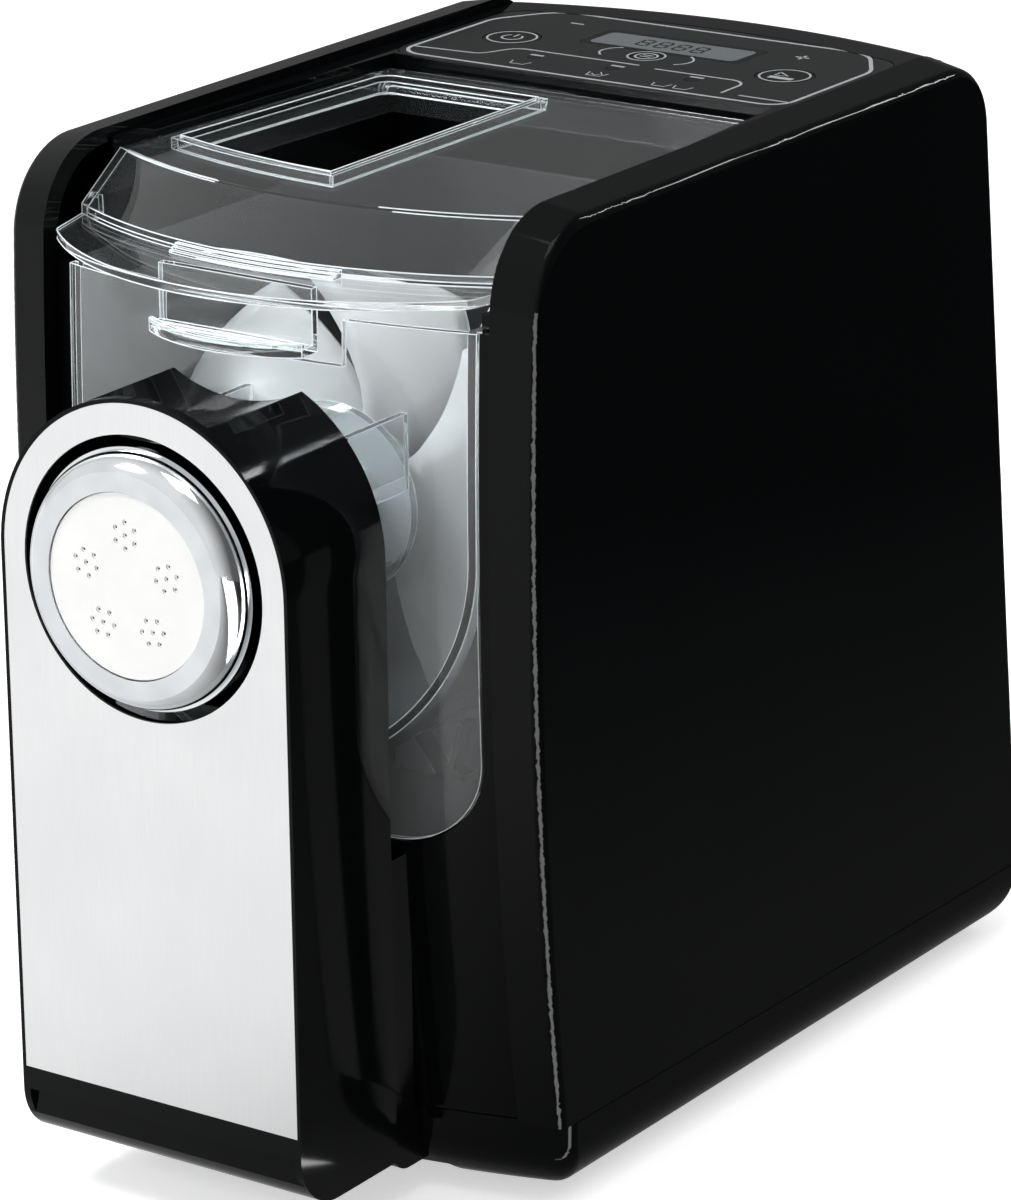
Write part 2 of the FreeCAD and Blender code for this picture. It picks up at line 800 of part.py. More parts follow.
gland_face = rear_axis_y + root(d.rear_plan * d.rear_plan - d.gland_x * d.gland_x)
gland = new_body("cord_gland")
gland_back = gland_face + d.rear_wall
pad(gland, draw(gland, "gland_neck", "XZ", gland_back - d.rear_wall * 5.0,
                Disc(d.gland_x, d.gland_z, d.gland_radius - d.panel_gap * 0.2)), d.rear_wall * 5.0)
pad(gland, draw(gland, "gland_inner_flange", "XZ", gland_back - d.rear_wall * 5.0,
                Disc(d.gland_x, d.gland_z, d.gland_flange)), d.rear_wall)
cut(gland, draw(gland, "gland_bore_hole", "XZ", gland_back - d.rear_wall * 6.0,
                Disc(d.gland_x, d.gland_z, d.gland_bore)), d.rear_wall * 8.0)
keep(gland)

# Top deck: roof between the bands, with the lid's opening, the key holes and the display opening


def lid_side(gap, depth):
    """Half width of the lid at this depth, on its tapering sides."""
    corner = d.lid_front - sagitta(d.lid_front_plan, d.lid_half_front)
    slope = (d.lid_half_front - d.lid_half_back) / (corner + d.lid_back)
    return d.lid_half_back + gap + slope * (d.lid_back - depth)


deck = new_body("top_deck")
deck_back = d.rear_top_bulge - sagitta(d.rear_plan, panel_half)
deck_low = d.deck_z - d.deck_skirt
pad(deck, draw(deck, "deck_plan", "XY", deck_low, [
    (-panel_half, -d.deck_front), (panel_half, -d.deck_front),
    (panel_half, deck_back, d.rear_plan), (-panel_half, deck_back),
]), d.deck_skirt)
deck_top = number_of(d.deck_z)
dress(deck, "Fillet", "deck_roll_edge", d.deck_roll,
      lambda e: ends_near(e, [(None, number_of(deck_back), deck_top)]) and e.BoundBox.XLength > 50)
opening_back = d.lid_back + d.lid_back_gap
opening = draw(deck, "deck_opening", "XY", d.deck_z + 5.0, [
    (-lid_side(d.lid_gap, -d.deck_front), -d.deck_front - 5.0),
    (lid_side(d.lid_gap, -d.deck_front), -d.deck_front - 5.0),
    (lid_side(d.lid_gap, opening_back), opening_back), (-lid_side(d.lid_gap, opening_back), opening_back),
])
cut(deck, opening, d.deck_skirt + 10.0, toward=-1)
cavity_front = opening_back + d.deck_wall
cavity = draw(deck, "deck_cavity", "XY", deck_low - 1.0, [
    (-panel_half + d.deck_wall, cavity_front), (panel_half - d.deck_wall, cavity_front),
    (panel_half - d.deck_wall, deck_back - d.deck_roll, d.rear_plan),
    (d.deck_wall - panel_half, deck_back - d.deck_roll),
])
cut(deck, cavity, d.deck_skirt - d.deck_wall + 1.0, toward=1)
recess_floor = d.deck_z - d.overlay_recess
side_back = d.overlay_back - sagitta(d.rear_plan, d.overlay_half) - d.overlay_corner


def overlay_loop(gap):
    """Outline of the control overlay: round corners, back edge parallel to the rear bulge."""
    half = d.overlay_half + gap
    turn_radius = d.overlay_corner
    back = side_back + turn_radius
    inner_back = d.overlay_back + gap - sagitta(d.rear_plan, half - turn_radius)
    return [
        (-half + turn_radius, d.overlay_front - gap), (half - turn_radius, d.overlay_front - gap, turn_radius),
        (half, d.overlay_front - gap + turn_radius), (half, back - turn_radius * 0.6, turn_radius),
        (half - turn_radius, inner_back, d.rear_plan), (turn_radius - half, inner_back, turn_radius),
        (-half, back - turn_radius * 0.6), (-half, d.overlay_front - gap + turn_radius, turn_radius),
    ]


cut(deck, draw(deck, "deck_recess", "XY", recess_floor, overlay_loop(d.panel_gap)), d.deck_wall * 4.0, toward=1)
key_spots = [("power", -d.key_x, d.key_radius), ("mode", 0.0, d.mode_radius), ("start", d.key_x, d.key_radius)]
cut(deck, draw(deck, "deck_key_holes", "XY", d.deck_z + 5.0,
               *[Disc(x, d.key_y, radius + d.key_gap) for _, x, radius in key_spots]),
    d.deck_wall * 4.0, toward=-1)
display_inset = d.display_half - d.deck_wall
cut(deck, draw(deck, "deck_display_hole", "XY", d.deck_z + 5.0,
               box_corners(-display_inset, d.display_front + d.deck_wall, display_inset, d.display_back - d.deck_wall)),
    d.deck_wall * 4.0, toward=-1)
light_radius = d.mode_radius * 0.4
light_spots = [(d.light_pitch * step, d.light_y) for step in (-1, 0, 1)]
cut(deck, draw(deck, "deck_light_holes", "XY", d.deck_z + 5.0,
               *[Disc(x, y, light_radius + d.key_gap) for x, y in light_spots]), d.deck_wall * 4.0, toward=-1)
board_corners = [(side * (d.board_half - 5.0), y) for side in (-1, 1)
                 for y in (d.board_front + 5.0, d.board_back - 8.0)]
board_face = d.board_z + d.board_thick
pad(deck, draw(deck, "deck_board_posts", "XY", board_face, *[Disc(x, y, 3.5) for x, y in board_corners]),
    d.deck_z - d.deck_wall - board_face + 0.2)
pin_out = panel_half - d.deck_wall
for side in (-1, 1):
    pin_sketch = draw(deck, f"deck_pin_hole_{'left' if side < 0 else 'right'}", "YZ", pin_out * side,
                      Disc(d.lid_back - d.hinge_inset, d.lid_z - d.hinge_inset, d.hinge_pin))
    cut(deck, pin_sketch, d.half_width * 0.15, toward=-side)
keep(deck)

overlay = new_body("control_overlay")
pad(overlay, draw(overlay, "overlay_plan", "XY", recess_floor, overlay_loop(-d.panel_gap * 0.1)), d.overlay_thick)
cut(overlay, draw(overlay, "overlay_holes", "XY", d.deck_z + 5.0,
                  *[Disc(x, d.key_y, radius + d.key_gap) for _, x, radius in key_spots],
                  *[Disc(x, y, light_radius + d.key_gap) for x, y in light_spots],
                  rounded_box(-d.display_half - 0.2, d.display_front - 0.2, d.display_half + 0.2,
                              d.display_back + 0.2, d.deck_wall)),
    d.deck_wall * 4.0, toward=-1)
keep(overlay)

lens = new_body("display_window")
pad(lens, draw(lens, "lens_plan", "XY", recess_floor,
               rounded_box(-d.display_half, d.display_front, d.display_half, d.display_back, d.deck_wall)),
    d.overlay_thick)
keep(lens)

key_top = recess_floor + d.overlay_thick
for name, x, radius in key_spots:
    key = new_body(name + "_key")
    pad(key, draw(key, name + "_key_plan", "XY", key_top - d.key_high, Disc(x, d.key_y, radius)), d.key_high)
    dress(key, "Fillet", name + "_key_edge", d.overlay_thick * 0.5,
          lambda e: ends_near(e, [(None, None, number_of(key_top))]))
    keep(key)

switch_top = key_top - d.key_high - d.key_travel - 0.1
keep(join("key_switches", *[
    block(f"key_switch_{name}", (x - 3.0, d.key_y - 3.0, board_face), (x + 3.0, d.key_y + 3.0, switch_top))
    for name, x, _ in key_spots]))
keep(join("indicator_lights", *[
    rod(f"light_{index}", light_radius, board_face, key_top - board_face, x, y, axis="Z")
    for index, (x, y) in enumerate(light_spots)]))
control_plate = block("control_plate", (-d.board_half, d.board_front, d.board_z), (d.board_half, d.board_back, board_face))
board_holes = [rod(f"board_hole_{index}", 1.6, d.board_z - 1.0, d.board_thick + 2.0, x, y, axis="Z")
               for index, (x, y) in enumerate(board_corners)]
keep(without("control_board", control_plate, *board_holes))
keep(join("board_screws", *[
    join(f"board_screw_{index}",
         rod(f"board_screw_head_{index}", 2.8, d.board_z - 2.0, 2.0, x, y, axis="Z"),
         rod(f"board_screw_stem_{index}", 1.5, d.board_z - 1.0, board_face - d.board_z + 1.0, x, y, axis="Z"))
    for index, (x, y) in enumerate(board_corners)]))
keep(block("display_module", (-d.display_half + 4.0, d.display_front + 4.0, board_face),
           (d.display_half - 4.0, d.display_back - 4.0, recess_floor - 0.3)), "display_module")

# Lid: flat roof, sloping front, ridge, and a lip that bulges forward with the thumb tab under it

lid = new_body("lid")


def lid_loop(inset, half_front, front, front_plan):
    """Footprint of the lid at one level, drawn in by the wall where inset is set."""
    half = half_front - inset
    back_half = d.lid_half_back - inset
    corner_y = -front + inset + sagitta(front_plan, half)
    return [
        (-half, corner_y, front_plan), (half, corner_y), (back_half, d.lid_back - inset),
        (-back_half, d.lid_back - inset),
    ]


def solid_between(body, name, inset, low, high, subtract=False):
    """Loft from the ridge footprint up to the roof footprint."""
    lower = draw(body, name + "_low", "XY", low, lid_loop(inset, d.ridge_half, d.ridge_front, d.ridge_plan))
    upper = draw(body, name + "_high", "XY", high, lid_loop(inset, d.lid_half_front, d.lid_front, d.lid_front_plan))
    kind = "SubtractiveLoft" if subtract else "AdditiveLoft"
    loft = body.newObject("PartDesign::" + kind, name + "_loft")
    loft.Profile = lower
    loft.Sections = [upper]
    loft.Ruled = True
    doc.recompute()


solid_between(lid, "lid_outer", 0.0, d.ridge_z, d.lid_z)
riser = draw(lid, "lid_riser", "XY", d.lip_z, lid_loop(0.0, d.ridge_half, d.ridge_front, d.ridge_plan))
pad(lid, riser, d.ridge_z - d.lip_z)
lip_corner = -d.lip_front + sagitta(d.lip_plan, d.lip_half)
ridge_corner = -d.ridge_front + sagitta(d.ridge_plan, d.ridge_half)
pad(lid, draw(lid, "lid_lip", "XY", d.lip_z, [
    (-d.lip_half, lip_corner, d.lip_plan), (d.lip_half, lip_corner), (d.ridge_half, ridge_corner),
    (-d.ridge_half, ridge_corner),
]), d.lip_thick)
lip_y = number_of(lip_corner)
dress(lid, "Fillet", "lid_lip_corners", d.lip_round, lambda e: ends_near(e, [(None, lip_y, None)]) and e.Length < 5)
solid_between(lid, "lid_inner", d.lid_wall, d.ridge_z - d.lid_wall, d.lid_z - d.lid_wall, subtract=True)
inner_front = -d.ridge_front + d.lid_wall + sagitta(d.ridge_plan, d.ridge_half - d.lid_wall)
cut(lid, draw(lid, "lid_inside", "XY", d.lip_z - 1.0,
              lid_loop(d.lid_wall, d.ridge_half, d.ridge_front, d.ridge_plan)),
    d.ridge_z - d.lid_wall - d.lip_z + 1.0, toward=1)
skirt_front = -d.ridge_front + sagitta(d.ridge_plan, d.ridge_half) + 8.0
cut(lid, draw(lid, "lid_skirt_trim", "YZ", 0.0,
              box_corners(skirt_front, d.lip_z - 2.0, d.lid_back + 5.0, d.ridge_z)),
    d.half_width * 3.0, both=True)


def slot_loop(grow):
    """Pour slot in the left half of the lid; its edges follow the lid's front and left side."""
    left_front = d.slot_margin - grow - lid_side(0.0, -d.slot_front_left)
    left_back = d.slot_margin - grow - lid_side(0.0, d.slot_back)
    right = -d.slot_right + grow
    return [
        (left_front, -d.slot_front_left - grow, d.slot_plan), (right, -d.slot_front - grow),
        (right, d.slot_back + grow), (left_back + d.hinge_inset, d.slot_back + grow, d.hinge_inset),
        (left_back, d.slot_back + grow - d.hinge_inset),
    ]


pad(lid, draw(lid, "lid_slot_rim", "XY", d.lid_z - d.slot_rim_deep, slot_loop(d.slot_rim)),
    d.slot_rim_deep - d.lid_wall * 0.5)
cut(lid, draw(lid, "lid_slot", "XY", d.lid_z + 5.0, slot_loop(0.0)), d.slot_rim_deep + 15.0, toward=-1)
tab_top = d.lip_z + d.lip_thick * 0.5
pad(lid, draw(lid, "lid_tab_wall", "XY", d.tab_low,
              box_corners(-d.tab_half, -d.tab_wall_y - d.lid_wall, d.tab_half, -d.tab_wall_y)), tab_top - d.tab_low)
tab_corner = -d.tab_front + sagitta(d.tab_plan, d.tab_half)
pad(lid, draw(lid, "lid_tab_ledge", "XY", d.tab_low, [
    (-d.tab_half, tab_corner, d.tab_plan), (d.tab_half, tab_corner), (d.tab_half, -d.tab_wall_y),
    (-d.tab_half, -d.tab_wall_y),
]), d.lid_wall)
rim_back = tab_corner + d.tab_rim
pad(lid, draw(lid, "lid_tab_rim", "XY", d.tab_low, [
    (-d.tab_half, tab_corner, d.tab_plan), (d.tab_half, tab_corner), (d.tab_half, rim_back, -d.tab_plan),
    (-d.tab_half, rim_back),
]), d.tab_rim_high)
ribs = []
for step in range(1, 4):
    behind = d.rib_pitch * step
    half = root(d.tab_plan * d.tab_plan - (d.tab_plan - behind) * (d.tab_plan - behind)) - d.tab_rim
    ribs.append(box_corners(-half, behind - d.tab_front, half, behind - d.tab_front + d.rib_wide))
pad(lid, draw(lid, "lid_tab_ribs", "XY", d.tab_low + d.lid_wall * 0.5, *ribs), d.lid_wall * 0.5 + d.rib_wide)

# Steps that lead from the lip up to the ridge in the middle of the lid
lip_top = d.lip_z + d.lip_thick
step_arc = sagitta(d.ridge_plan, d.step_half) - d.ridge_front
for step in range(1, 4):
    step_y = step_arc - d.step_wide * step
    stair = draw(lid, f"lid_step_{step}", "XY", d.lip_z + d.lip_thick * 0.5, [
        (-d.step_half, step_y, d.ridge_plan), (d.step_half, step_y), (d.step_half, step_arc + d.lid_wall * 0.5),
        (-d.step_half, step_arc + d.lid_wall * 0.5),
    ])
    pad(lid, stair, d.lip_thick * 0.5 + (d.ridge_z - lip_top) * (1.0 - step / 4.0))

hinge_y = d.lid_back - d.hinge_inset
hinge_z = d.lid_z - d.hinge_inset
cut(lid, draw(lid, "lid_hinge_bores", "YZ", d.half_width, Disc(hinge_y, hinge_z, d.hinge_bore)),
    d.half_width * 2.0, toward=-1)
keep(lid)

pin_in = d.lid_half_back - d.lid_wall * 2.0
keep(join("lid_hinge_pins",
          rod("hinge_pin_left", d.hinge_pin, -pin_out, pin_out - pin_in, hinge_y, hinge_z, axis="X"),
          rod("hinge_pin_right", d.hinge_pin, pin_in, pin_out - pin_in, hinge_y, hinge_z, axis="X")))

# Chamber well: black liner that carries the bucket, open in front and on top

well_in = d.bucket_half + d.well_gap
well_out = well_in + d.well_wall
well = new_body("chamber_well")
pad(well, draw(well, "well_section", "XZ", -d.well_front, trough_loop(well_out, d.well_top)),
    d.well_back + d.well_front, toward=1)
flange_half = panel_half - d.panel_gap
pad(well, draw(well, "well_flange_plan", "XY", d.well_top - d.well_flange,
               box_corners(-flange_half, -d.well_front, flange_half, d.well_back)), d.well_flange)
cut(well, draw(well, "well_inside", "XZ", -d.well_front - 1.0, trough_loop(well_in, d.well_top + 5.0)),
    d.well_back + d.well_front + 1.0 - d.well_wall, toward=1)
boss_radius = d.bearing_radius + d.box_wall
cut(well, draw(well, "well_shaft_hole", "XZ", d.well_back - d.well_wall * 2.0, Disc(0.0, d.axis_z, boss_radius + d.panel_gap)),
    d.well_wall * 4.0, toward=1)
cut(well, draw(well, "well_rod_hole", "XY", d.well_top + 1.0, Disc(d.rod_x, -d.rod_y, d.rod_radius + 0.1)),
    d.well_flange + 2.0, toward=-1)
keep(well)

# Bucket: clear chamber that slides out to the front; its front wall continues the bowed face of the frame

bucket = new_body("bucket", place_y=frame_axis_y)
bucket_start = -d.frame_belly - 10.0
pad(bucket, draw(bucket, "bucket_section", "XZ", bucket_start - frame_axis_y,
                 trough_loop(d.bucket_half, d.bucket_top)), d.bucket_back - bucket_start)
cut(bucket, draw(bucket, "bucket_inside", "XZ", bucket_start - frame_axis_y - 1.0,
                 trough_loop(d.bucket_half - d.bucket_wall, d.bucket_top + 5.0)),
    d.bucket_back - bucket_start + 1.0 - d.bucket_wall)
foot_out = -(d.frame_foot + frame_axis_y)
top_out = -(d.frame_belly + frame_axis_y)
ahead = draw(bucket, "bucket_ahead", "YZ", 0.0, [
    (foot_out - 30.0, frame_low), (foot_out, frame_low, -d.frame_bow), (top_out, d.frame_top),
    (top_out - 30.0, d.frame_top),
])
turn(bucket, ahead, axis="Z", angle=60.0, groove=True)
turn(bucket, draw(bucket, "bucket_front_strip", "YZ", 0.0, bow_strip(0.0, d.frame_wall, frame_low, d.frame_top)),
     axis="Z", angle=40.0)
outside = draw(bucket, "bucket_outside", "XZ", -d.frame_plan * 0.85,
               window_loop(d.window_gap, d.frame_top + 20.0),
               box_corners(-d.half_width * 2.0, d.seam_front * 0.5, d.half_width * 2.0, d.frame_top + 40.0))
cut(bucket, outside, d.frame_plan * 0.3, toward=-1)
cut(bucket, draw(bucket, "bucket_barrel_hole", "XZ", -d.frame_plan * 0.85, Disc(0.0, d.axis_z, d.barrel_radius + 0.05)),
    d.frame_plan * 0.3, toward=-1)
cut(bucket, draw(bucket, "bucket_shaft_hole", "XZ", d.bucket_back - frame_axis_y - d.bucket_wall * 3.0,
                 Disc(0.0, d.axis_z, d.shaft_radius + d.window_gap)), d.bucket_wall * 5.0)
cut(bucket, draw(bucket, "bucket_notch", "XZ", -d.frame_plan * 0.85,
                 box_corners(-d.notch_half, d.notch_low, d.notch_half, d.frame_top + 10.0)),
    d.frame_plan * 0.3, toward=-1)
keep(bucket)

# Extrusion group, all turned about the screw axis

barrel = new_body("extrusion_barrel", place_z=d.axis_z)
turn(barrel, draw(barrel, "barrel_section", "YZ", 0.0, [
    (-d.mouth_front, d.barrel_bore), (-d.barrel_back, d.barrel_bore), (-d.barrel_back, d.barrel_radius),
    (-d.collar_back, d.barrel_radius), (-d.collar_back, d.collar_radius), (-d.collar_front, d.collar_radius),
    (-d.collar_front, d.mouth_radius), (-d.mouth_front, d.mouth_radius),
]))
lug_in = d.barrel_radius - d.lug_thick
lug_start = d.barrel_back + 4.0
pad(barrel, draw(barrel, "barrel_lugs", "XZ", -lug_start, *[
    box_corners(left, d.lug_low, left + d.lug_thick, d.lug_low + d.lug_high)
    for left in (-d.barrel_radius, lug_in)]), d.lug_long, toward=-1)
keep(barrel)

seal = new_body("barrel_seal", place_z=d.axis_z)
seal_back = lug_start + d.lug_long + 2.0
pad(seal, draw(seal, "seal_ring", "XZ", -seal_back, Disc(0.0, 0.0, d.barrel_radius),
               Disc(0.0, 0.0, d.barrel_radius + d.lug_thick)), d.lug_thick, toward=-1)
keep(seal)

nut = new_body("lock_nut", place_z=d.axis_z)
nut_inner = d.mouth_radius + d.panel_gap
nut_seat = d.nut_face_y - d.frame_wall
turn(nut, draw(nut, "nut_section", "YZ", 0.0, [
    (-nut_seat, nut_inner), (-nut_seat, d.nut_eye), (-d.nut_face_y, d.nut_eye),
    (-d.nut_face_y, d.nut_flat, -d.nut_dome), (-d.nut_rim_y, d.nut_radius - d.nut_step),
    (-d.nut_rim_y + d.nut_step, d.nut_radius - d.nut_step), (-d.nut_rim_y + d.nut_step, d.nut_radius),
    (-d.nut_rim_y + d.nut_bead, d.nut_radius), (-d.nut_rim_y + d.nut_bead, d.nut_skirt),
    (-d.nut_back, d.nut_skirt), (-d.nut_back, nut_inner),
]))
keep(nut)

die = new_body("die_disc", place_z=d.axis_z)
die_back = d.mouth_front + d.panel_gap
pad(die, draw(die, "die_plan", "XZ", -die_back, Disc(0.0, 0.0, d.die_radius)), d.die_thick, toward=-1)
boss_long = d.nut_face_y - die_back - d.die_boss_step
pad(die, draw(die, "die_boss", "XZ", -die_back, Disc(0.0, 0.0, d.nut_eye - d.panel_gap)), boss_long, toward=-1)
die_holes = []
for cluster in range(5):
    around = math.radians(90 + 72 * cluster)
    hub_x = d.die_cluster * math.cos(around)
    hub_z = d.die_cluster * math.sin(around)
    die_holes.append(Disc(hub_x, hub_z, d.die_hole))
    for index in range(6):
        turned = around + math.radians(60 * index)
        die_holes.append(Disc(hub_x + d.die_ring * math.cos(turned), hub_z + d.die_ring * math.sin(turned), d.die_hole))
cut(die, draw(die, "die_hole_plan", "XZ", 1.0 - die_back, *die_holes), d.die_thick * 3.0, toward=-1)
keep(die)

screw = new_body("extrusion_screw", place_z=d.axis_z)
paddle_front = d.barrel_back - 6.0
pad(screw, draw(screw, "screw_core_plan", "XZ", -paddle_front, Disc(0.0, 0.0, d.screw_core)),
    d.screw_front - paddle_front, toward=-1)
pad(screw, draw(screw, "screw_plug_plan", "XZ", -paddle_front, Disc(0.0, 0.0, d.shaft_radius)), d.plug_long)
flight = draw(screw, "screw_flight", "YZ", 0.0, box_corners(
    -d.screw_front, d.screw_core - 1.0, -d.screw_front + d.flight_thick, d.screw_radius))
coil = screw.newObject("PartDesign::AdditiveHelix", "screw_coil")
coil.Profile = flight
coil.ReferenceAxis = (axis_line(screw, "Y"), [""])
coil.Mode = "pitch-height-angle"
coil.setExpression("Pitch", formula_of(d.screw_pitch))
coil.setExpression("Height", formula_of(d.screw_pitch * d.screw_turns))
doc.recompute()
keep(screw)

hub = new_body("paddle_hub", place_z=d.axis_z)
turn(hub, draw(hub, "hub_section", "YZ", 0.0, [
    (-paddle_front, d.shaft_radius + d.socket_gap), (d.plug_long - paddle_front, d.shaft_radius + d.socket_gap),
    (d.plug_long - paddle_front, d.shaft_radius * 0.5), (d.paddle_back, d.shaft_radius * 0.5),
    (d.paddle_back, d.paddle_hub), (d.plug_long - paddle_front, d.paddle_hub), (-paddle_front, d.hub_front_radius),
]))


def hexagon(radius):
    """Corners of a hexagon with this circumradius, a corner up."""
    return [(radius * math.cos(math.radians(90 + 60 * k)), radius * math.sin(math.radians(90 + 60 * k)))
            for k in range(6)]


cut(hub, draw(hub, "hub_socket", "XZ", d.hex_front - 1.0, hexagon(d.hex_radius + d.socket_gap)), d.half_width)


def turned_box(half_across, half_up, degrees):
    """Corners of a rectangle turned about its middle."""
    along = math.cos(math.radians(degrees))
    aside = math.sin(math.radians(degrees))
    return [(a * along - b * aside, a * aside + b * along)
            for a, b in ((-half_across, -half_up), (half_across, -half_up), (half_across, half_up), (-half_across, half_up))]


blades = []
for index in range(3):
    blade = new_body(f"paddle_blade_{index}", place_y=d.blade_first + d.blade_pitch * index, place_z=d.axis_z)
    blade.Placement.Rotation = FreeCAD.Rotation(FreeCAD.Vector(0, 1, 0), d.blade_turn.value + 120 * index)
    low_end = draw(blade, f"blade_root_{index}", "XY", d.shaft_radius + 1.8,
                   turned_box(d.blade_thick * 0.5, d.blade_wide * 0.3, 20))
    high_end = draw(blade, f"blade_tip_{index}", "XY", d.paddle_reach, turned_box(d.blade_thick * 0.4, d.blade_wide * 0.5, 65))
    loft = blade.newObject("PartDesign::AdditiveLoft", f"blade_loft_{index}")
    loft.Profile = low_end
    loft.Sections = [high_end]
    loft.Ruled = True
    blades.append(blade)
doc.recompute()
keep(join("mixing_paddle", hub, *blades))

# Front cover with its finger scoop, and the steel plate in its face

cover = new_body("front_cover")
arch_z = d.axis_z + d.arch_rise


def arch_loop(inset, low):
    """Outline with an arch on top."""
    half = d.cover_half - inset
    return [
        (-half, low), (half, low), (half, arch_z, half), (0.0, arch_z + half, half), (-half, arch_z),
    ]


def cavity_loop(grow, low):
    """Outline of the room inside the cover, with a flat bow below the finger scoop."""
    half = d.cover_half - d.cover_shell + grow
    shoulder = arch_z + root(half * half - d.scoop_shoulder * d.scoop_shoulder)
    return [
        (-half, low), (half, low), (half, arch_z, half), (d.scoop_shoulder, shoulder, -d.scoop_bow),
        (-d.scoop_shoulder, shoulder, half), (-half, arch_z),
    ]


pad(cover, draw(cover, "cover_outline", "XZ", -d.cover_front, arch_loop(0.0, d.cover_low)), d.cover_front - d.cover_back)
front_y = -number_of(d.cover_front)
dress(cover, "Fillet", "cover_roll_edge", d.cover_roll,
      lambda e: ends_near(e, [(None, front_y, number_of(d.cover_low))]))
cut(cover, draw(cover, "cover_scoop", "XZ", -d.scoop_front, Disc(0.0, d.scoop_low + d.scoop_radius, d.scoop_radius)),
    d.cover_front - d.cover_back)
cut(cover, draw(cover, "cover_room", "XZ", d.cover_face - d.cover_front, cavity_loop(0.0, d.cover_step)),
    d.cover_front - d.cover_back)
cut(cover, draw(cover, "cover_low_room", "XZ", d.cover_roll - d.cover_front,
                box_corners(d.cover_shell - d.cover_half, d.cover_low + d.cover_shell,
                            d.cover_half - d.cover_shell, d.cover_step + 1.0)), d.cover_front - d.cover_back)
cut(cover, draw(cover, "cover_foot_inset", "XZ", -d.cover_front - 1.0,
                box_corners(d.cover_shell - d.cover_half, d.cover_low - 1.0,
                            d.cover_half - d.cover_shell, d.cover_step - 1.0)), d.cover_inset + 1.0)
cut(cover, draw(cover, "cover_plate_seat", "XZ", -d.cover_front - 1.0, arch_loop(d.plate_rim, d.plate_low)),
    d.plate_thick + 1.1)
cut(cover, draw(cover, "cover_nut_hole", "XZ", -d.cover_front - 1.0, Disc(0.0, d.axis_z, d.plate_hole)),
    d.cover_face + 2.0)
web_low = d.axis_z - d.cover_half
web = draw(cover, "cover_web", "XZ", -d.collar_front - 0.5, cavity_loop(0.4, web_low),
           Disc(0.0, d.axis_z, d.collar_radius + 0.1))
pad(cover, web, d.cover_roll * 0.3)
keep(cover)

plate = new_body("face_plate")
pad(plate, draw(plate, "plate_outline", "XZ", 0.1 - d.cover_front, arch_loop(d.plate_rim + 0.1, d.plate_low + 0.1),
                Disc(0.0, d.axis_z, d.plate_hole)), d.plate_thick)
keep(plate)

# Drive: shaft, seal and bearings on the screw axis, then two compound gears down to the motor

shaft = new_body("drive_shaft", place_z=d.axis_z)
hex_back = d.paddle_back + 1.0
pad(shaft, draw(shaft, "shaft_hex", "XZ", d.hex_front, hexagon(d.hex_radius)), hex_back - d.hex_front)
pad(shaft, draw(shaft, "shaft_round", "XZ", hex_back, Disc(0.0, 0.0, d.shaft_radius)),
    d.box_back - d.box_wall - hex_back - 0.5)
keep(shaft)

second_z = d.axis_z - (d.large_teeth + d.small_teeth) * d.module_out * 0.5
first_z = second_z - (d.large_teeth + d.small_teeth) * d.module_mid * 0.5
motor_z = first_z - (d.large_teeth + d.small_teeth) * d.module_in * 0.5


def ring(name, outer, inner, start, long, up):
    """Plain ring about a line along Y."""
    return without(name, rod(name + "_solid", outer, start, long, 0.0, up),
                   rod(name + "_bore", inner, start - 1.0, long + 2.0, 0.0, up))


keep(ring("shaft_seal", d.bearing_radius, d.shaft_radius + d.axle_gap, d.box_front - d.seal_ahead, d.seal_wide, d.axis_z))
front_bearing_y = d.box_front + d.box_wall
rear_bearing_y = d.box_back - d.box_wall - d.bearing_wide
keep(join("shaft_bearings",
          ring("front_bearing", d.bearing_radius, d.shaft_radius + d.axle_gap, front_bearing_y, d.bearing_wide, d.axis_z),
          ring("rear_bearing", d.bearing_radius, d.shaft_radius + d.axle_gap, rear_bearing_y, d.bearing_wide, d.axis_z)))


def wheel(body, tag, teeth, module, start, long, gap_below):
    """Spur gear about the body's Y axis, with a tooth above it, or a gap below it."""
    count = number_of(teeth)
    pitch = teeth * module * 0.5
    base = pitch - module * 1.25
    shift = math.radians(180.0 / count) if gap_below else 0.0
    half = [
        (-module * 1.05, base - module * 0.4), (module * 1.05, base - module * 0.4), (module * 1.05, base),
        (module * 0.665, pitch), (module * 0.36, pitch + module * 0.85), (-module * 0.36, pitch + module * 0.85),
        (-module * 0.665, pitch), (-module * 1.05, base),
    ]
    along = math.cos(shift)
    aside = math.sin(shift)
    outline = [(x * along + z * aside, z * along - x * aside) for x, z in half]
    pad(body, draw(body, tag + "_blank", "XZ", start, Disc(0.0, 0.0, base)), long)
    tooth = pad(body, draw(body, tag + "_tooth", "XZ", start, outline), long)
    pattern(body, tag + "_teeth", tooth, teeth, "Y")


def bore(body, tag, radius):
    """Hole all along the body's Y axis."""
    cut(body, draw(body, tag + "_bore", "XZ", d.box_front, Disc(0.0, 0.0, radius)), d.half_width)


output = new_body("output_gear", place_z=d.axis_z)
wheel(output, "output", d.large_teeth, d.module_out, d.gear_front, d.gear_wide, True)
bore(output, "output", d.shaft_radius)
keep(output)

mid_front = d.gear_front + d.gear_wide + 3.0
second = new_body("second_gear", place_z=second_z)
pad(second, draw(second, "second_hub", "XZ", mid_front - 2.5, Disc(0.0, 0.0, d.axle_radius * 1.7)), 3.0)
wheel(second, "second_small", d.small_teeth, d.module_out, d.gear_front - 1.0, d.gear_wide + 2.0, False)
wheel(second, "second_large", d.large_teeth, d.module_mid, mid_front, d.mid_wide, True)
bore(second, "second", d.axle_radius + d.axle_gap)
keep(second)

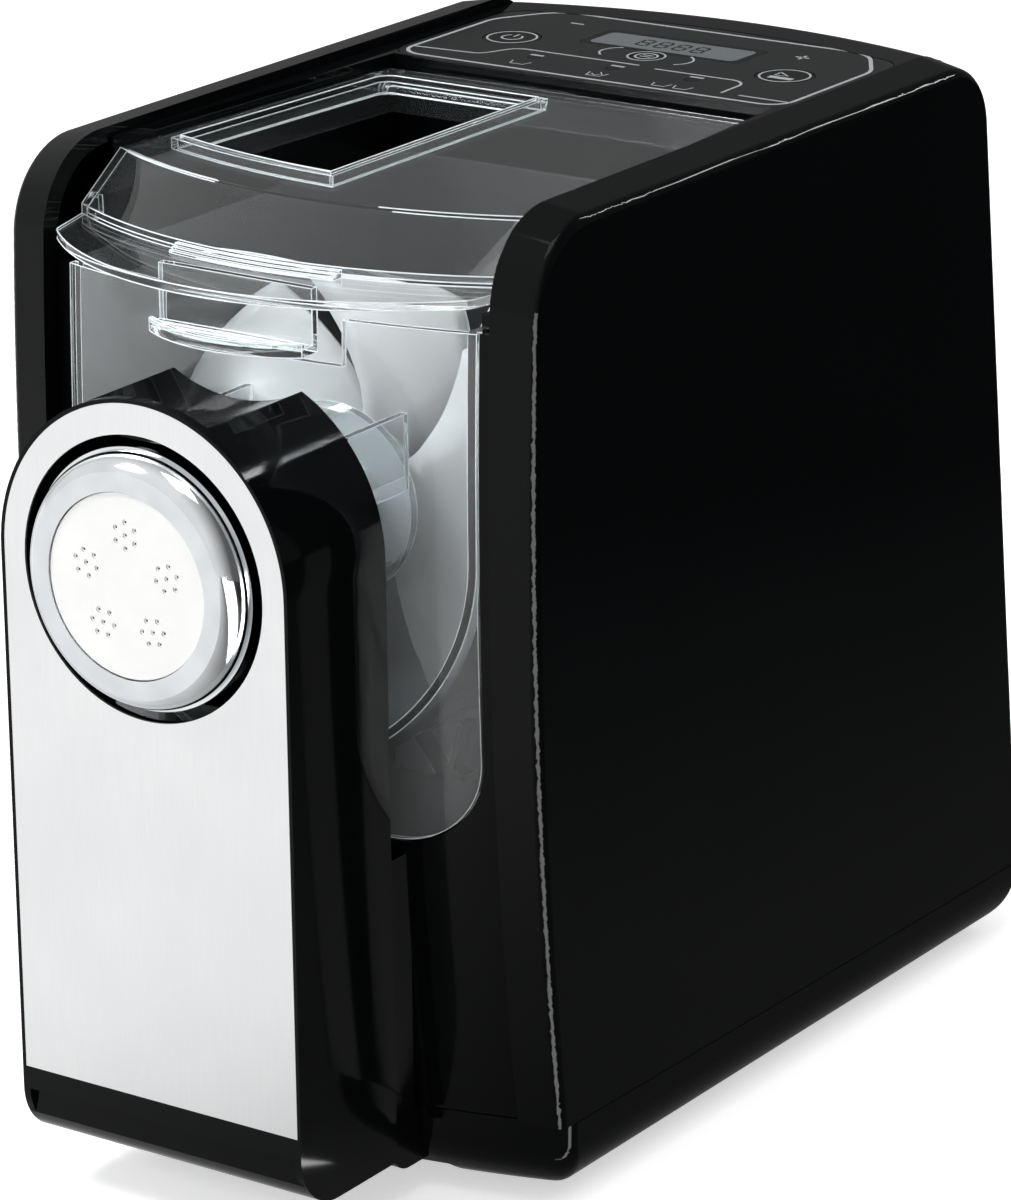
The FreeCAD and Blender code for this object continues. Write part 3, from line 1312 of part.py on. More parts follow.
low_front = mid_front + d.mid_wide + 2.5
first = new_body("first_gear", place_z=first_z)
pad(first, draw(first, "first_hub", "XZ", low_front - 2.5, Disc(0.0, 0.0, d.axle_radius * 1.4)), 3.0)
wheel(first, "first_small", d.small_teeth, d.module_mid, mid_front - 0.5, d.mid_wide + 1.0, False)
wheel(first, "first_large", d.large_teeth, d.module_in, low_front, d.low_wide, True)
bore(first, "first", d.axle_radius + d.axle_gap)
keep(first)

pinion = new_body("motor_pinion", place_z=motor_z)
wheel(pinion, "pinion", d.small_teeth, d.module_in, low_front - 0.5, d.low_wide + 1.0, False)
bore(pinion, "pinion", d.motor_shaft)
keep(pinion)

axle_front = d.box_front + 0.5
axle_long = d.box_back - d.box_front - 1.0
keep(join("gear_axles",
          rod("second_axle", d.axle_radius, axle_front, axle_long, 0.0, second_z),
          rod("first_axle", d.axle_radius, axle_front, axle_long, 0.0, first_z)))

box = new_body("gearbox_housing")
cover_front_y = d.box_back - d.box_wall


def box_loop(inset):
    """Outline of the gearbox."""
    return rounded_box(inset - d.box_half, d.box_low + inset, d.box_half - inset, d.box_top - inset, d.box_corner - inset)


pad(box, draw(box, "box_outline", "XZ", d.box_front, box_loop(0.0)), cover_front_y - d.box_front)
cut(box, draw(box, "box_room", "XZ", d.box_front + d.box_wall, box_loop(d.box_wall)), d.box_back)
pad(box, draw(box, "box_nose", "XZ", d.box_front - d.seal_ahead, Disc(0.0, d.axis_z, boss_radius)),
    d.seal_ahead + d.box_wall + d.bearing_wide)
screw_pillars = [(side * x, z) for side in (-1, 1)
                 for x, z in ((d.pillar_x, d.box_top - 5.5), (d.box_half - 4.5, second_z - 10.0), (d.pillar_x, d.box_low + 5.5))]
pad(box, draw(box, "box_pillars", "XZ", d.box_front + 1.0, *[Disc(x, z, 3.6) for x, z in screw_pillars]),
    cover_front_y - d.box_front - 1.0)
cut(box, draw(box, "box_nose_bore", "XZ", d.box_front - d.half_width, Disc(0.0, d.axis_z, d.bearing_radius)), d.half_width * 2.0)
cut(box, draw(box, "box_axle_seats", "XZ", axle_front, Disc(0.0, second_z, d.axle_radius), Disc(0.0, first_z, d.axle_radius)),
    d.box_wall)
cut(box, draw(box, "box_motor_hole", "XZ", 0.0, Disc(0.0, motor_z, d.motor_shaft + 2.0)), d.box_back)
cut(box, draw(box, "box_screw_holes", "XZ", cover_front_y - d.screw_long + 2.0,
              *[Disc(x, z, d.screw_stem) for x, z in screw_pillars]), d.screw_long)
keep(box)

lid_plate = new_body("gearbox_cover")
pad(lid_plate, draw(lid_plate, "gearbox_cover_outline", "XZ", cover_front_y, box_loop(0.0)), d.box_wall)
pad(lid_plate, draw(lid_plate, "gearbox_cover_boss", "XZ", rear_bearing_y, Disc(0.0, d.axis_z, boss_radius)),
    d.bearing_wide + 1.0)
cut(lid_plate, draw(lid_plate, "gearbox_cover_seat", "XZ", rear_bearing_y - 1.0, Disc(0.0, d.axis_z, d.bearing_radius)),
    d.bearing_wide + 1.0)
cut(lid_plate, draw(lid_plate, "gearbox_cover_axle_seats", "XZ", cover_front_y - 1.0,
                    Disc(0.0, second_z, d.axle_radius), Disc(0.0, first_z, d.axle_radius)), d.box_wall + 0.5)
cut(lid_plate, draw(lid_plate, "gearbox_cover_holes", "XZ", cover_front_y - 1.0,
                    *[Disc(x, z, d.screw_stem + 0.2) for x, z in screw_pillars]), d.box_wall * 2.0)
keep(lid_plate)
keep(join("gearbox_screws", *[
    join(f"gearbox_screw_{index}",
         rod(f"gearbox_screw_head_{index}", d.screw_head, d.box_back, 2.4, x, z),
         rod(f"gearbox_screw_stem_{index}", d.screw_stem, cover_front_y - d.screw_long + 2.2,
             d.screw_long + d.box_wall, x, z))
    for index, (x, z) in enumerate(screw_pillars)]))

# Motor under the chamber well, its fan, and the supports that stand on the tray

motor_front = d.box_front - d.motor_long
keep(ring("motor", d.motor_radius, d.motor_shaft + d.axle_gap, motor_front, d.motor_long, motor_z))
keep(rod("motor_shaft", d.motor_shaft, motor_front - d.fan_ahead, d.motor_long + d.fan_ahead + low_front - d.box_front + d.low_wide + 1.0,
         0.0, motor_z), "motor_shaft")
fan = new_body("motor_fan", place_z=motor_z)
fan_start = motor_front - d.fan_ahead
pad(fan, draw(fan, "fan_hub", "XZ", fan_start, Disc(0.0, 0.0, d.motor_shaft * 2.2)), d.fan_wide)
fan_blade = pad(fan, draw(fan, "fan_blade", "XZ", fan_start, [
    (-0.8, d.motor_shaft * 1.5), (0.8, d.motor_shaft * 1.5), (d.fan_radius * 0.25, d.fan_radius * 0.96),
    (d.fan_radius * 0.16, d.fan_radius * 0.98)]), d.fan_wide)
pattern(fan, "fan_blades", fan_blade, d.fan_blades, "Y")
cut(fan, draw(fan, "fan_bore", "XZ", fan_start - 1.0, Disc(0.0, 0.0, d.motor_shaft)), d.fan_wide * 3.0)
keep(fan)

mount_block = block("mount_block", (-d.mount_half, d.mount_front, d.base_floor), (d.mount_half, d.mount_back, d.mount_top))
mount_tools = [rod("mount_cradle", d.motor_radius, d.mount_front - 1.0, d.mount_back - d.mount_front + 2.0, 0.0, motor_z)]
stand_block = block("stand_block", (-d.stand_half, d.stand_front, d.base_floor), (d.stand_half, d.stand_back, d.box_low))
stand_tools = [block("stand_tunnel", (-d.stand_half * 0.5, d.stand_front - 1.0, d.base_floor - 1.0),
                     (d.stand_half * 0.5, d.stand_back + 1.0, d.box_low - d.box_wall * 2.0))]
for index, (x, y) in enumerate(base_screw_spots):
    hole = rod(f"base_screw_seat_{index}", d.screw_stem, d.base_floor - 1.0, d.screw_long, x, y, axis="Z")
    (stand_tools if number_of(y) > number_of(d.mount_back) else mount_tools).append(hole)
keep(without("motor_mount", mount_block, *mount_tools))
keep(without("gearbox_stand", stand_block, *stand_tools))
floor_under = d.base_low + d.skid_rise
keep(join("base_screws", *[
    join(f"base_screw_{index}",
         rod(f"base_screw_head_{index}", d.screw_head, floor_under - 2.4, 2.4, x, y, axis="Z"),
         rod(f"base_screw_stem_{index}", d.screw_stem, floor_under - 1.0, d.screw_long + d.base_floor - floor_under - 0.5,
             x, y, axis="Z"))
    for index, (x, y) in enumerate(base_screw_spots)]))

# Power board in the tail of the tray, and the lid's interlock beside the well

power_plate = block("power_plate", (-d.power_half, power_front, d.power_z),
                    (d.power_half, power_back, d.power_z + d.board_thick))
power_holes = [rod(f"power_hole_{index}", d.screw_stem, d.power_z - 1.0, d.board_thick + 2.0, x, y, axis="Z")
               for index, (x, y) in enumerate(power_corners)]
keep(without("power_board", power_plate, *power_holes))
rod_top = d.lip_z - d.panel_gap
keep(rod("lid_switch_rod", d.rod_radius, d.rod_low, rod_top - d.rod_low, d.rod_x, -d.rod_y, axis="Z"), "lid_switch_rod")
keep(block("lid_switch", (well_out, -d.rod_y - d.switch_wide * 0.6, d.switch_top - d.switch_high),
           (well_out + d.switch_wide, d.switch_wide * 0.6 - d.rod_y, d.switch_top)), "lid_switch")

# Last look at every object and every kept piece, then the files

doc.recompute()
for item in doc.Objects:
    if "Invalid" in item.State or "Error" in item.State:
        raise RuntimeError(f"{item.Name}: {item.State}")
os.makedirs("parts", exist_ok=True)
for item in nodes:
    if item.Shape.isNull() or not item.Shape.isValid():
        raise RuntimeError(f"{item.Label} has no valid shape")
    item.Shape.exportStep(f"parts/{item.Label}.step")
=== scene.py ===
import json
import math

import bmesh
import bpy
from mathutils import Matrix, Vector


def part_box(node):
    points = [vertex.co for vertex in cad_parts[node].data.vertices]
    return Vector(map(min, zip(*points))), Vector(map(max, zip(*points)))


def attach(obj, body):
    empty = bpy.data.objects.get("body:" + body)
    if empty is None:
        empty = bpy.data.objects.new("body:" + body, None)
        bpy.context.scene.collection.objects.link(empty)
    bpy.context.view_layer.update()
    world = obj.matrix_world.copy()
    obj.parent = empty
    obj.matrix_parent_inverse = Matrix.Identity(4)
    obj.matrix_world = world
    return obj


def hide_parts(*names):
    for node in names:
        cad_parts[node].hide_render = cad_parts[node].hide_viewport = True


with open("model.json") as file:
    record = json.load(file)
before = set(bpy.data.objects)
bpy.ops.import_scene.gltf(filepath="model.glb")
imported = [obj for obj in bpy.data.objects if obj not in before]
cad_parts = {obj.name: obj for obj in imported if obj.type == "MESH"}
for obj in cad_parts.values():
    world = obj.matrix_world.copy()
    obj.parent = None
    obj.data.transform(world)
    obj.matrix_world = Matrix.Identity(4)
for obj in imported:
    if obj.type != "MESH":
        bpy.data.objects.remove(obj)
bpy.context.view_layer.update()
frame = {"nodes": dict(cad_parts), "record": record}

# Electric pasta maker. Metres, X to the right, Y to the back, Z up, the front faces -Y.
MM = 0.001
SCREW_AXIS = 206.2  # height of the extrusion screw's axis, in millimetres
LID_REAR = 46.0 * MM
SCREW_HEAD = 2.4 * MM
INK = 0.04 * MM


# Camera at the photograph's viewing angle, whose height and focal length are in its pixels

FRAME_HIGH = 1200.0
FOCAL = 5637.84
eye = bpy.data.cameras.new("studio_camera")
eye.lens = FOCAL / FRAME_HIGH * eye.sensor_width
eye_object = bpy.data.objects.new("studio_camera", eye)
eye_object.location = (0.9713, -1.4011, 0.7227)
eye_object.rotation_euler = [math.radians(a) for a in (71.3883, 0.6829, 34.4015)]
bpy.context.scene.collection.objects.link(eye_object)
bpy.context.scene.camera = eye_object
bpy.context.scene.view_settings.view_transform = "Standard"


# Nodes and colours

def colour(code):
    """Linear colour with alpha from an sRGB hex value."""
    parts = [int(code[i:i + 2], 16) / 255 for i in (1, 3, 5)]
    linear = [p / 12.92 if p <= 0.04045 else ((p + 0.055) / 1.055) ** 2.4 for p in parts]
    return (*linear, 1.0)


def node(tree, kind, settings=None, links=None):
    """Adds one node. Settings are properties or socket values, and links are outputs that feed sockets."""
    made = tree.nodes.new(kind)
    for key, value in (settings or {}).items():
        if isinstance(key, str) and hasattr(made, key):
            setattr(made, key, value)
        else:
            made.inputs[key].default_value = value
    for key, source in (links or {}).items():
        tree.links.new(source, made.inputs[key])
    return made


def new_finish(name):
    """Empty node material, its tree and the piece's own coordinates."""
    made = bpy.data.materials.new(name)
    made.use_nodes = True
    tree = made.node_tree
    tree.nodes.clear()
    return made, tree, node(tree, "ShaderNodeTexCoord").outputs["Object"]


# Finishes

def polished_abs(name, dark, light, rough):
    """Injection-moulded ABS from a polished tool: deep gloss over black, with a faint orange peel."""
    made, tree, place = new_finish(name)
    cloud = node(tree, "ShaderNodeTexNoise", {"Scale": 1 / (60 * MM), "Detail": 2.0}, {"Vector": place})
    peel = node(tree, "ShaderNodeTexNoise", {"Scale": 1 / (7 * MM), "Detail": 1.0}, {"Vector": place})
    tone = node(tree, "ShaderNodeMix", {"data_type": "RGBA", 6: colour(dark), 7: colour(light)},
                {0: cloud.outputs["Fac"]})
    gloss = node(tree, "ShaderNodeMapRange", {"To Min": rough * 0.7, "To Max": rough * 1.3},
                 {"Value": cloud.outputs["Fac"]})
    skin = node(tree, "ShaderNodeBump", {"Distance": 0.01 * MM, "Strength": 0.02},
                {"Height": peel.outputs["Fac"]})
    shader = node(tree, "ShaderNodeBsdfPrincipled", {"IOR": 1.2},
                  {"Base Color": tone.outputs[2], "Roughness": gloss.outputs[0], "Normal": skin.outputs[0]})
    node(tree, "ShaderNodeOutputMaterial", links={"Surface": shader.outputs[0]})
    return made


def textured_abs(name, dark, light):
    """ABS from a spark-eroded tool: a dry fine grain, drawn at 0.8 mm so that it shows."""
    made, tree, place = new_finish(name)
    cloud = node(tree, "ShaderNodeTexNoise", {"Scale": 1 / (30 * MM), "Detail": 2.0}, {"Vector": place})
    pits = node(tree, "ShaderNodeTexVoronoi", {"Scale": 1 / (0.8 * MM)}, {"Vector": place})
    tone = node(tree, "ShaderNodeMix", {"data_type": "RGBA", 6: colour(dark), 7: colour(light)},
                {0: cloud.outputs["Fac"]})
    dry = node(tree, "ShaderNodeMapRange", {"To Min": 0.45, "To Max": 0.62},
               {"Value": pits.outputs["Distance"]})
    skin = node(tree, "ShaderNodeBump", {"Distance": 0.05 * MM, "Strength": 0.5},
                {"Height": pits.outputs["Distance"]})
    shader = node(tree, "ShaderNodeBsdfPrincipled", {"IOR": 1.4},
                  {"Base Color": tone.outputs[2], "Roughness": dry.outputs[0], "Normal": skin.outputs[0]})
    node(tree, "ShaderNodeOutputMaterial", links={"Surface": shader.outputs[0]})
    return made


def satin_polyester(name, dark, light):
    """Reverse-printed polyester film: an even black with a soft satin sheen and a dot screen 1.2 mm apart."""
    made, tree, place = new_finish(name)
    dots = node(tree, "ShaderNodeTexVoronoi", {"Scale": 1 / (1.2 * MM), "Randomness": 0.0}, {"Vector": place})
    screen = node(tree, "ShaderNodeMapRange", {"From Min": 0.25, "From Max": 0.45},
                  {"Value": dots.outputs["Distance"]})
    tone = node(tree, "ShaderNodeMix", {"data_type": "RGBA", 6: colour(light), 7: colour(dark)},
                {0: screen.outputs[0]})
    sheen = node(tree, "ShaderNodeMapRange", {"To Min": 0.2, "To Max": 0.26}, {"Value": screen.outputs[0]})
    shader = node(tree, "ShaderNodeBsdfPrincipled", {"IOR": 1.35},
                  {"Base Color": tone.outputs[2], "Roughness": sheen.outputs[0]})
    node(tree, "ShaderNodeOutputMaterial", links={"Surface": shader.outputs[0]})
    return made


def clear_polycarbonate(name, tint, ior, through):
    """Clear moulded polycarbonate: bright edges and a trace of haze. Lamps shine through it unbent."""
    made, tree, place = new_finish(name)
    flow = node(tree, "ShaderNodeTexNoise", {"Scale": 1 / (40 * MM), "Detail": 1.0}, {"Vector": place})
    haze = node(tree, "ShaderNodeMapRange", {"To Min": 0.0, "To Max": 0.03}, {"Value": flow.outputs["Fac"]})
    shader = node(tree, "ShaderNodeBsdfPrincipled",
                  {"Base Color": colour(tint), "Transmission Weight": through, "IOR": ior},
                  {"Roughness": haze.outputs[0]})
    path = node(tree, "ShaderNodeLightPath")
    clear = node(tree, "ShaderNodeBsdfTransparent", {"Color": colour("#f2f5f6")})
    whole = node(tree, "ShaderNodeMixShader",
                 links={0: path.outputs["Is Shadow Ray"], 1: shader.outputs[0], 2: clear.outputs[0]})
    node(tree, "ShaderNodeOutputMaterial", links={"Surface": whole.outputs[0]})
    return made


def waxy_plastic(name, dark, light):
    """Moulded acetal, polypropylene or nylon: dense and pale, with a waxy sheen."""
    made, tree, place = new_finish(name)
    cloud = node(tree, "ShaderNodeTexNoise", {"Scale": 1 / (20 * MM), "Detail": 2.0}, {"Vector": place})
    grain = node(tree, "ShaderNodeTexNoise", {"Scale": 1 / (3 * MM), "Detail": 2.0}, {"Vector": place})
    tone = node(tree, "ShaderNodeMix", {"data_type": "RGBA", 6: colour(dark), 7: colour(light)},
                {0: cloud.outputs["Fac"]})
    wax = node(tree, "ShaderNodeMapRange", {"To Min": 0.26, "To Max": 0.38}, {"Value": grain.outputs["Fac"]})
    skin = node(tree, "ShaderNodeBump", {"Distance": 0.01 * MM, "Strength": 0.2},
                {"Height": grain.outputs["Fac"]})
    shader = node(tree, "ShaderNodeBsdfPrincipled", {"IOR": 1.48},
                  {"Base Color": tone.outputs[2], "Roughness": wax.outputs[0], "Normal": skin.outputs[0]})
    node(tree, "ShaderNodeOutputMaterial", links={"Surface": shader.outputs[0]})
    return made


def brushed_stainless(name, dark, light, stretch, rough):
    """Stainless sheet brushed one way: its hair-fine scratches are drawn 0.4 mm apart so that they show."""
    made, tree, place = new_finish(name)
    along = node(tree, "ShaderNodeMapping", {"Scale": [s / (0.4 * MM) for s in stretch]}, {"Vector": place})
    scratches = node(tree, "ShaderNodeTexNoise", {"Scale": 1.0, "Detail": 4.0}, {"Vector": along.outputs[0]})
    broad = node(tree, "ShaderNodeTexNoise", {"Scale": 1 / (45 * MM), "Detail": 2.0}, {"Vector": place})
    both = node(tree, "ShaderNodeMath", {"operation": "MULTIPLY"},
                {0: scratches.outputs["Fac"], 1: broad.outputs["Fac"]})
    tone = node(tree, "ShaderNodeMix", {"data_type": "RGBA", 6: colour(dark), 7: colour(light)},
                {0: both.outputs[0]})
    sheen = node(tree, "ShaderNodeMapRange", {"To Min": rough * 0.85, "To Max": rough * 1.2},
                 {"Value": scratches.outputs["Fac"]})
    skin = node(tree, "ShaderNodeBump", {"Distance": 0.01 * MM, "Strength": 0.2},
                {"Height": scratches.outputs["Fac"]})
    shader = node(tree, "ShaderNodeBsdfPrincipled", {"Metallic": 1.0},
                  {"Base Color": tone.outputs[2], "Roughness": sheen.outputs[0], "Normal": skin.outputs[0]})
    node(tree, "ShaderNodeOutputMaterial", links={"Surface": shader.outputs[0]})
    return made


def polished_chrome(name, dark, light):
    """Polished and chromed zinc casting: a mirror with slight waves and a little handling haze."""
    made, tree, place = new_finish(name)
    waves = node(tree, "ShaderNodeTexNoise", {"Scale": 1 / (12 * MM), "Detail": 1.0}, {"Vector": place})
    tone = node(tree, "ShaderNodeMix", {"data_type": "RGBA", 6: colour(dark), 7: colour(light)},
                {0: waves.outputs["Fac"]})
    haze = node(tree, "ShaderNodeMapRange", {"To Min": 0.05, "To Max": 0.13}, {"Value": waves.outputs["Fac"]})
    skin = node(tree, "ShaderNodeBump", {"Distance": 0.02 * MM, "Strength": 0.15},
                {"Height": waves.outputs["Fac"]})
    shader = node(tree, "ShaderNodeBsdfPrincipled", {"Metallic": 1.0},
                  {"Base Color": tone.outputs[2], "Roughness": haze.outputs[0], "Normal": skin.outputs[0]})
    node(tree, "ShaderNodeOutputMaterial", links={"Surface": shader.outputs[0]})
    return made


def moulded_rubber(name):
    """Compression-moulded rubber: black and dull, dusted with talc in its 1 mm grain."""
    made, tree, place = new_finish(name)
    grain = node(tree, "ShaderNodeTexNoise", {"Scale": 1 / (1.0 * MM), "Detail": 3.0}, {"Vector": place})
    tone = node(tree, "ShaderNodeMix", {"data_type": "RGBA", 6: colour("#111111"), 7: colour("#1d1d1c")},
                {0: grain.outputs["Fac"]})
    dull = node(tree, "ShaderNodeMapRange", {"To Min": 0.6, "To Max": 0.8}, {"Value": grain.outputs["Fac"]})
    skin = node(tree, "ShaderNodeBump", {"Distance": 0.05 * MM, "Strength": 0.5},
                {"Height": grain.outputs["Fac"]})
    shader = node(tree, "ShaderNodeBsdfPrincipled", {"IOR": 1.5},
                  {"Base Color": tone.outputs[2], "Roughness": dull.outputs[0], "Normal": skin.outputs[0]})
    node(tree, "ShaderNodeOutputMaterial", links={"Surface": shader.outputs[0]})
    return made


def solder_masked_board(name):
    """Glass-epoxy laminate under green solder mask: the weave, 1.2 mm apart, just shows through."""
    made, tree, place = new_finish(name)
    across = node(tree, "ShaderNodeTexWave", {"bands_direction": "X", "Scale": 1 / (7.5 * MM)},
                  {"Vector": place})
    along = node(tree, "ShaderNodeTexWave", {"bands_direction": "Y", "Scale": 1 / (7.5 * MM)},
                 {"Vector": place})
    weave = node(tree, "ShaderNodeMath", {"operation": "MULTIPLY"},
                 {0: across.outputs["Fac"], 1: along.outputs["Fac"]})
    tone = node(tree, "ShaderNodeMix", {"data_type": "RGBA", 6: colour("#0f3b20"), 7: colour("#17512d")},
                {0: weave.outputs[0]})
    gloss = node(tree, "ShaderNodeMapRange", {"To Min": 0.22, "To Max": 0.36}, {"Value": weave.outputs[0]})
    shader = node(tree, "ShaderNodeBsdfPrincipled", {"IOR": 1.5},
                  {"Base Color": tone.outputs[2], "Roughness": gloss.outputs[0]})
    node(tree, "ShaderNodeOutputMaterial", links={"Surface": shader.outputs[0]})
    return made


def stove_enamel(name):
    """Deep-drawn steel can under grey stove enamel, with its fine orange peel."""
    made, tree, place = new_finish(name)
    cloud = node(tree, "ShaderNodeTexNoise", {"Scale": 1 / (12 * MM), "Detail": 2.0}, {"Vector": place})
    peel = node(tree, "ShaderNodeTexNoise", {"Scale": 1 / (2 * MM), "Detail": 1.0}, {"Vector": place})
    tone = node(tree, "ShaderNodeMix", {"data_type": "RGBA", 6: colour("#54575b"), 7: colour("#62666a")},
                {0: cloud.outputs["Fac"]})
    gloss = node(tree, "ShaderNodeMapRange", {"To Min": 0.35, "To Max": 0.5}, {"Value": peel.outputs["Fac"]})
    skin = node(tree, "ShaderNodeBump", {"Distance": 0.03 * MM, "Strength": 0.3},
                {"Height": peel.outputs["Fac"]})
    shader = node(tree, "ShaderNodeBsdfPrincipled", {"IOR": 1.5},
                  {"Base Color": tone.outputs[2], "Roughness": gloss.outputs[0], "Normal": skin.outputs[0]})
    node(tree, "ShaderNodeOutputMaterial", links={"Surface": shader.outputs[0]})
    return made


def screen_ink(name, dark, light):
    """Screen-printed grey ink: flat, with the slight mottle that the mesh leaves."""
    made, tree, place = new_finish(name)
    mottle = node(tree, "ShaderNodeTexNoise", {"Scale": 1 / (1.5 * MM), "Detail": 2.0}, {"Vector": place})
    tone = node(tree, "ShaderNodeMix", {"data_type": "RGBA", 6: colour(dark), 7: colour(light)},
                {0: mottle.outputs["Fac"]})
    flat = node(tree, "ShaderNodeMapRange", {"To Min": 0.35, "To Max": 0.5}, {"Value": mottle.outputs["Fac"]})
    shader = node(tree, "ShaderNodeBsdfPrincipled", {"IOR": 1.4},
                  {"Base Color": tone.outputs[2], "Roughness": flat.outputs[0]})
    node(tree, "ShaderNodeOutputMaterial", links={"Surface": shader.outputs[0]})
    return made


gloss_black = polished_abs("polished_black_abs", "#050607", "#08090a", 0.07)
grain_black = textured_abs("textured_black_abs", "#0e0f10", "#141516")
film_black = satin_polyester("printed_polyester_film", "#0b0d0e", "#15181a")
clear_plastic = clear_polycarbonate("clear_polycarbonate", "#f4f7f8", 1.32, 0.992)
hazed_plastic = clear_polycarbonate("washed_polycarbonate", "#f2f5f6", 1.36, 0.96)
# Half-clear whitish plastic for the edge lines: a painted highlight on the clear parts' moulded edges.
edge_highlight_paint = clear_polycarbonate("painted_edge_highlight", "#f6f8f9", 1.45, 0.35)
acetal = waxy_plastic("white_acetal", "#e2e3e1", "#efefed")
# Greyer copy of the white plastic for the paddle and screw inside the chamber: painted shade.
paddle_white_shaded = waxy_plastic("white_polypropylene_shaded", "#bfc0c0", "#cdcece")
plate_steel = brushed_stainless("brushed_stainless_sheet", "#dcddde", "#f0f1f1", (1.0, 1.0, 0.03), 0.36)
bar_steel = brushed_stainless("drawn_steel_bar", "#8f9294", "#b7babb", (1.0, 0.05, 1.0), 0.3)
chrome = polished_chrome("polished_chrome", "#c4c7ca", "#e6e8ea")
rubber = moulded_rubber("moulded_rubber")
board_green = solder_masked_board("solder_masked_board")
nylon = waxy_plastic("natural_nylon", "#c9c4b4", "#d8d3c3")
smoked = polished_abs("smoked_acrylic", "#0a0b0d", "#0d0f12", 0.05)
can_enamel = stove_enamel("grey_stove_enamel")
grey_ink = screen_ink("grey_screen_ink", "#9a9ea0", "#a9adaf")
lcd_grey = screen_ink("unlit_display_film", "#5c6062", "#666a6c")

FINISH = {
    "gloss_black": gloss_black, "matte_black": grain_black, "clear": clear_plastic, "white": acetal,
    "steel": bar_steel, "chrome": chrome, "rubber": rubber, "board": board_green, "pale_gear": nylon,
    "dark_window": smoked, "light": smoked, "motor_case": can_enamel,
}
OWN_FINISH = {
    "face_plate": plate_steel, "control_overlay": film_black, "power_key": gloss_black,
    "mode_key": gloss_black, "start_key": gloss_black, "chamber_well": gloss_black, "bucket": hazed_plastic,
    "mixing_paddle": paddle_white_shaded, "extrusion_screw": paddle_white_shaded,
}
for part in frame["record"]["subparts"]:
    name = part["node"]
    chosen = OWN_FINISH.get(name, FINISH[part["material_slot"]])
    for slot in frame["nodes"][name].material_slots:
        slot.material = chosen


# Floor, backdrop and soft studio lamps

def studio_floor():
    """Pale floor, white to the camera, to glass and to metal in front of it, that keeps the shadow.
    Towards the back and right, mirrors see it dim and then dark, and beside that one bright gap."""
    made, tree, place = new_finish("studio_floor_white")
    paint = node(tree, "ShaderNodeTexNoise", {"Scale": 3.0, "Detail": 1.0}, {"Vector": place})
    tone = node(tree, "ShaderNodeMix", {"data_type": "RGBA", 6: colour("#f0f0f0"), 7: colour("#f4f4f4")},
                {0: paint.outputs["Fac"]})
    matt = node(tree, "ShaderNodeBsdfDiffuse", links={"Color": tone.outputs[2]})
    lean = node(tree, "ShaderNodeVectorMath", {"operation": "DOT_PRODUCT", 1: (-0.85, -0.52, 0.0)},
                {0: place})
    bright = node(tree, "ShaderNodeMapRange",
                  {"From Min": -0.05, "From Max": 0.25, "To Min": 0.02, "To Max": 1.0},
                  {"Value": lean.outputs["Value"]})
    corner = node(tree, "ShaderNodeVectorMath", {"operation": "SUBTRACT", 1: (0.09, -0.115, 0.0)}, {0: place})
    heading = node(tree, "ShaderNodeVectorMath", {"operation": "NORMALIZE"}, {0: corner.outputs["Vector"]})
    toward = node(tree, "ShaderNodeVectorMath", {"operation": "DOT_PRODUCT", 1: (0.82, -0.57, 0.0)},
                  {0: heading.outputs["Vector"]})
    gap = node(tree, "ShaderNodeMapRange",
               {"From Min": 0.940, "From Max": 0.985, "To Min": 0.0, "To Max": 14.0},
               {"Value": toward.outputs["Value"]})
    near = node(tree, "ShaderNodeMapRange",
                {"From Min": -0.65, "From Max": -0.2, "To Min": 0.0, "To Max": 0.13},
                {"Value": lean.outputs["Value"]})
    lit = node(tree, "ShaderNodeMath", {"operation": "ADD"}, {0: bright.outputs[0], 1: near.outputs[0]})
    mirrored = node(tree, "ShaderNodeMath", {"operation": "ADD"}, {0: lit.outputs[0], 1: gap.outputs[0]})
    path = node(tree, "ShaderNodeLightPath")
    seen = node(tree, "ShaderNodeMath", {"operation": "MAXIMUM"},
                {0: path.outputs["Is Camera Ray"], 1: path.outputs["Is Transmission Ray"]})
    plain = node(tree, "ShaderNodeMath", {"operation": "MULTIPLY", 1: 0.55}, {0: seen.outputs[0]})
    lift = node(tree, "ShaderNodeEmission", links={"Strength": plain.outputs[0]})
    direct = node(tree, "ShaderNodeAddShader", links={0: matt.outputs[0], 1: lift.outputs[0]})
    image = node(tree, "ShaderNodeEmission", links={"Strength": mirrored.outputs[0]})
    whole = node(tree, "ShaderNodeMixShader",
                 links={0: path.outputs["Is Glossy Ray"], 1: direct.outputs[0], 2: image.outputs[0]})
    node(tree, "ShaderNodeOutputMaterial", links={"Surface": whole.outputs[0]})
    mesh = bpy.data.meshes.new("studio_floor")
    half = 6.0
    mesh.from_pydata([(-half, -half, 0), (half, -half, 0), (half, half, 0), (-half, half, 0)], [],
                     [(0, 1, 2, 3)])
    mesh.materials.append(made)
    floor = bpy.data.objects.new("studio_floor", mesh)
    bpy.context.scene.collection.objects.link(floor)


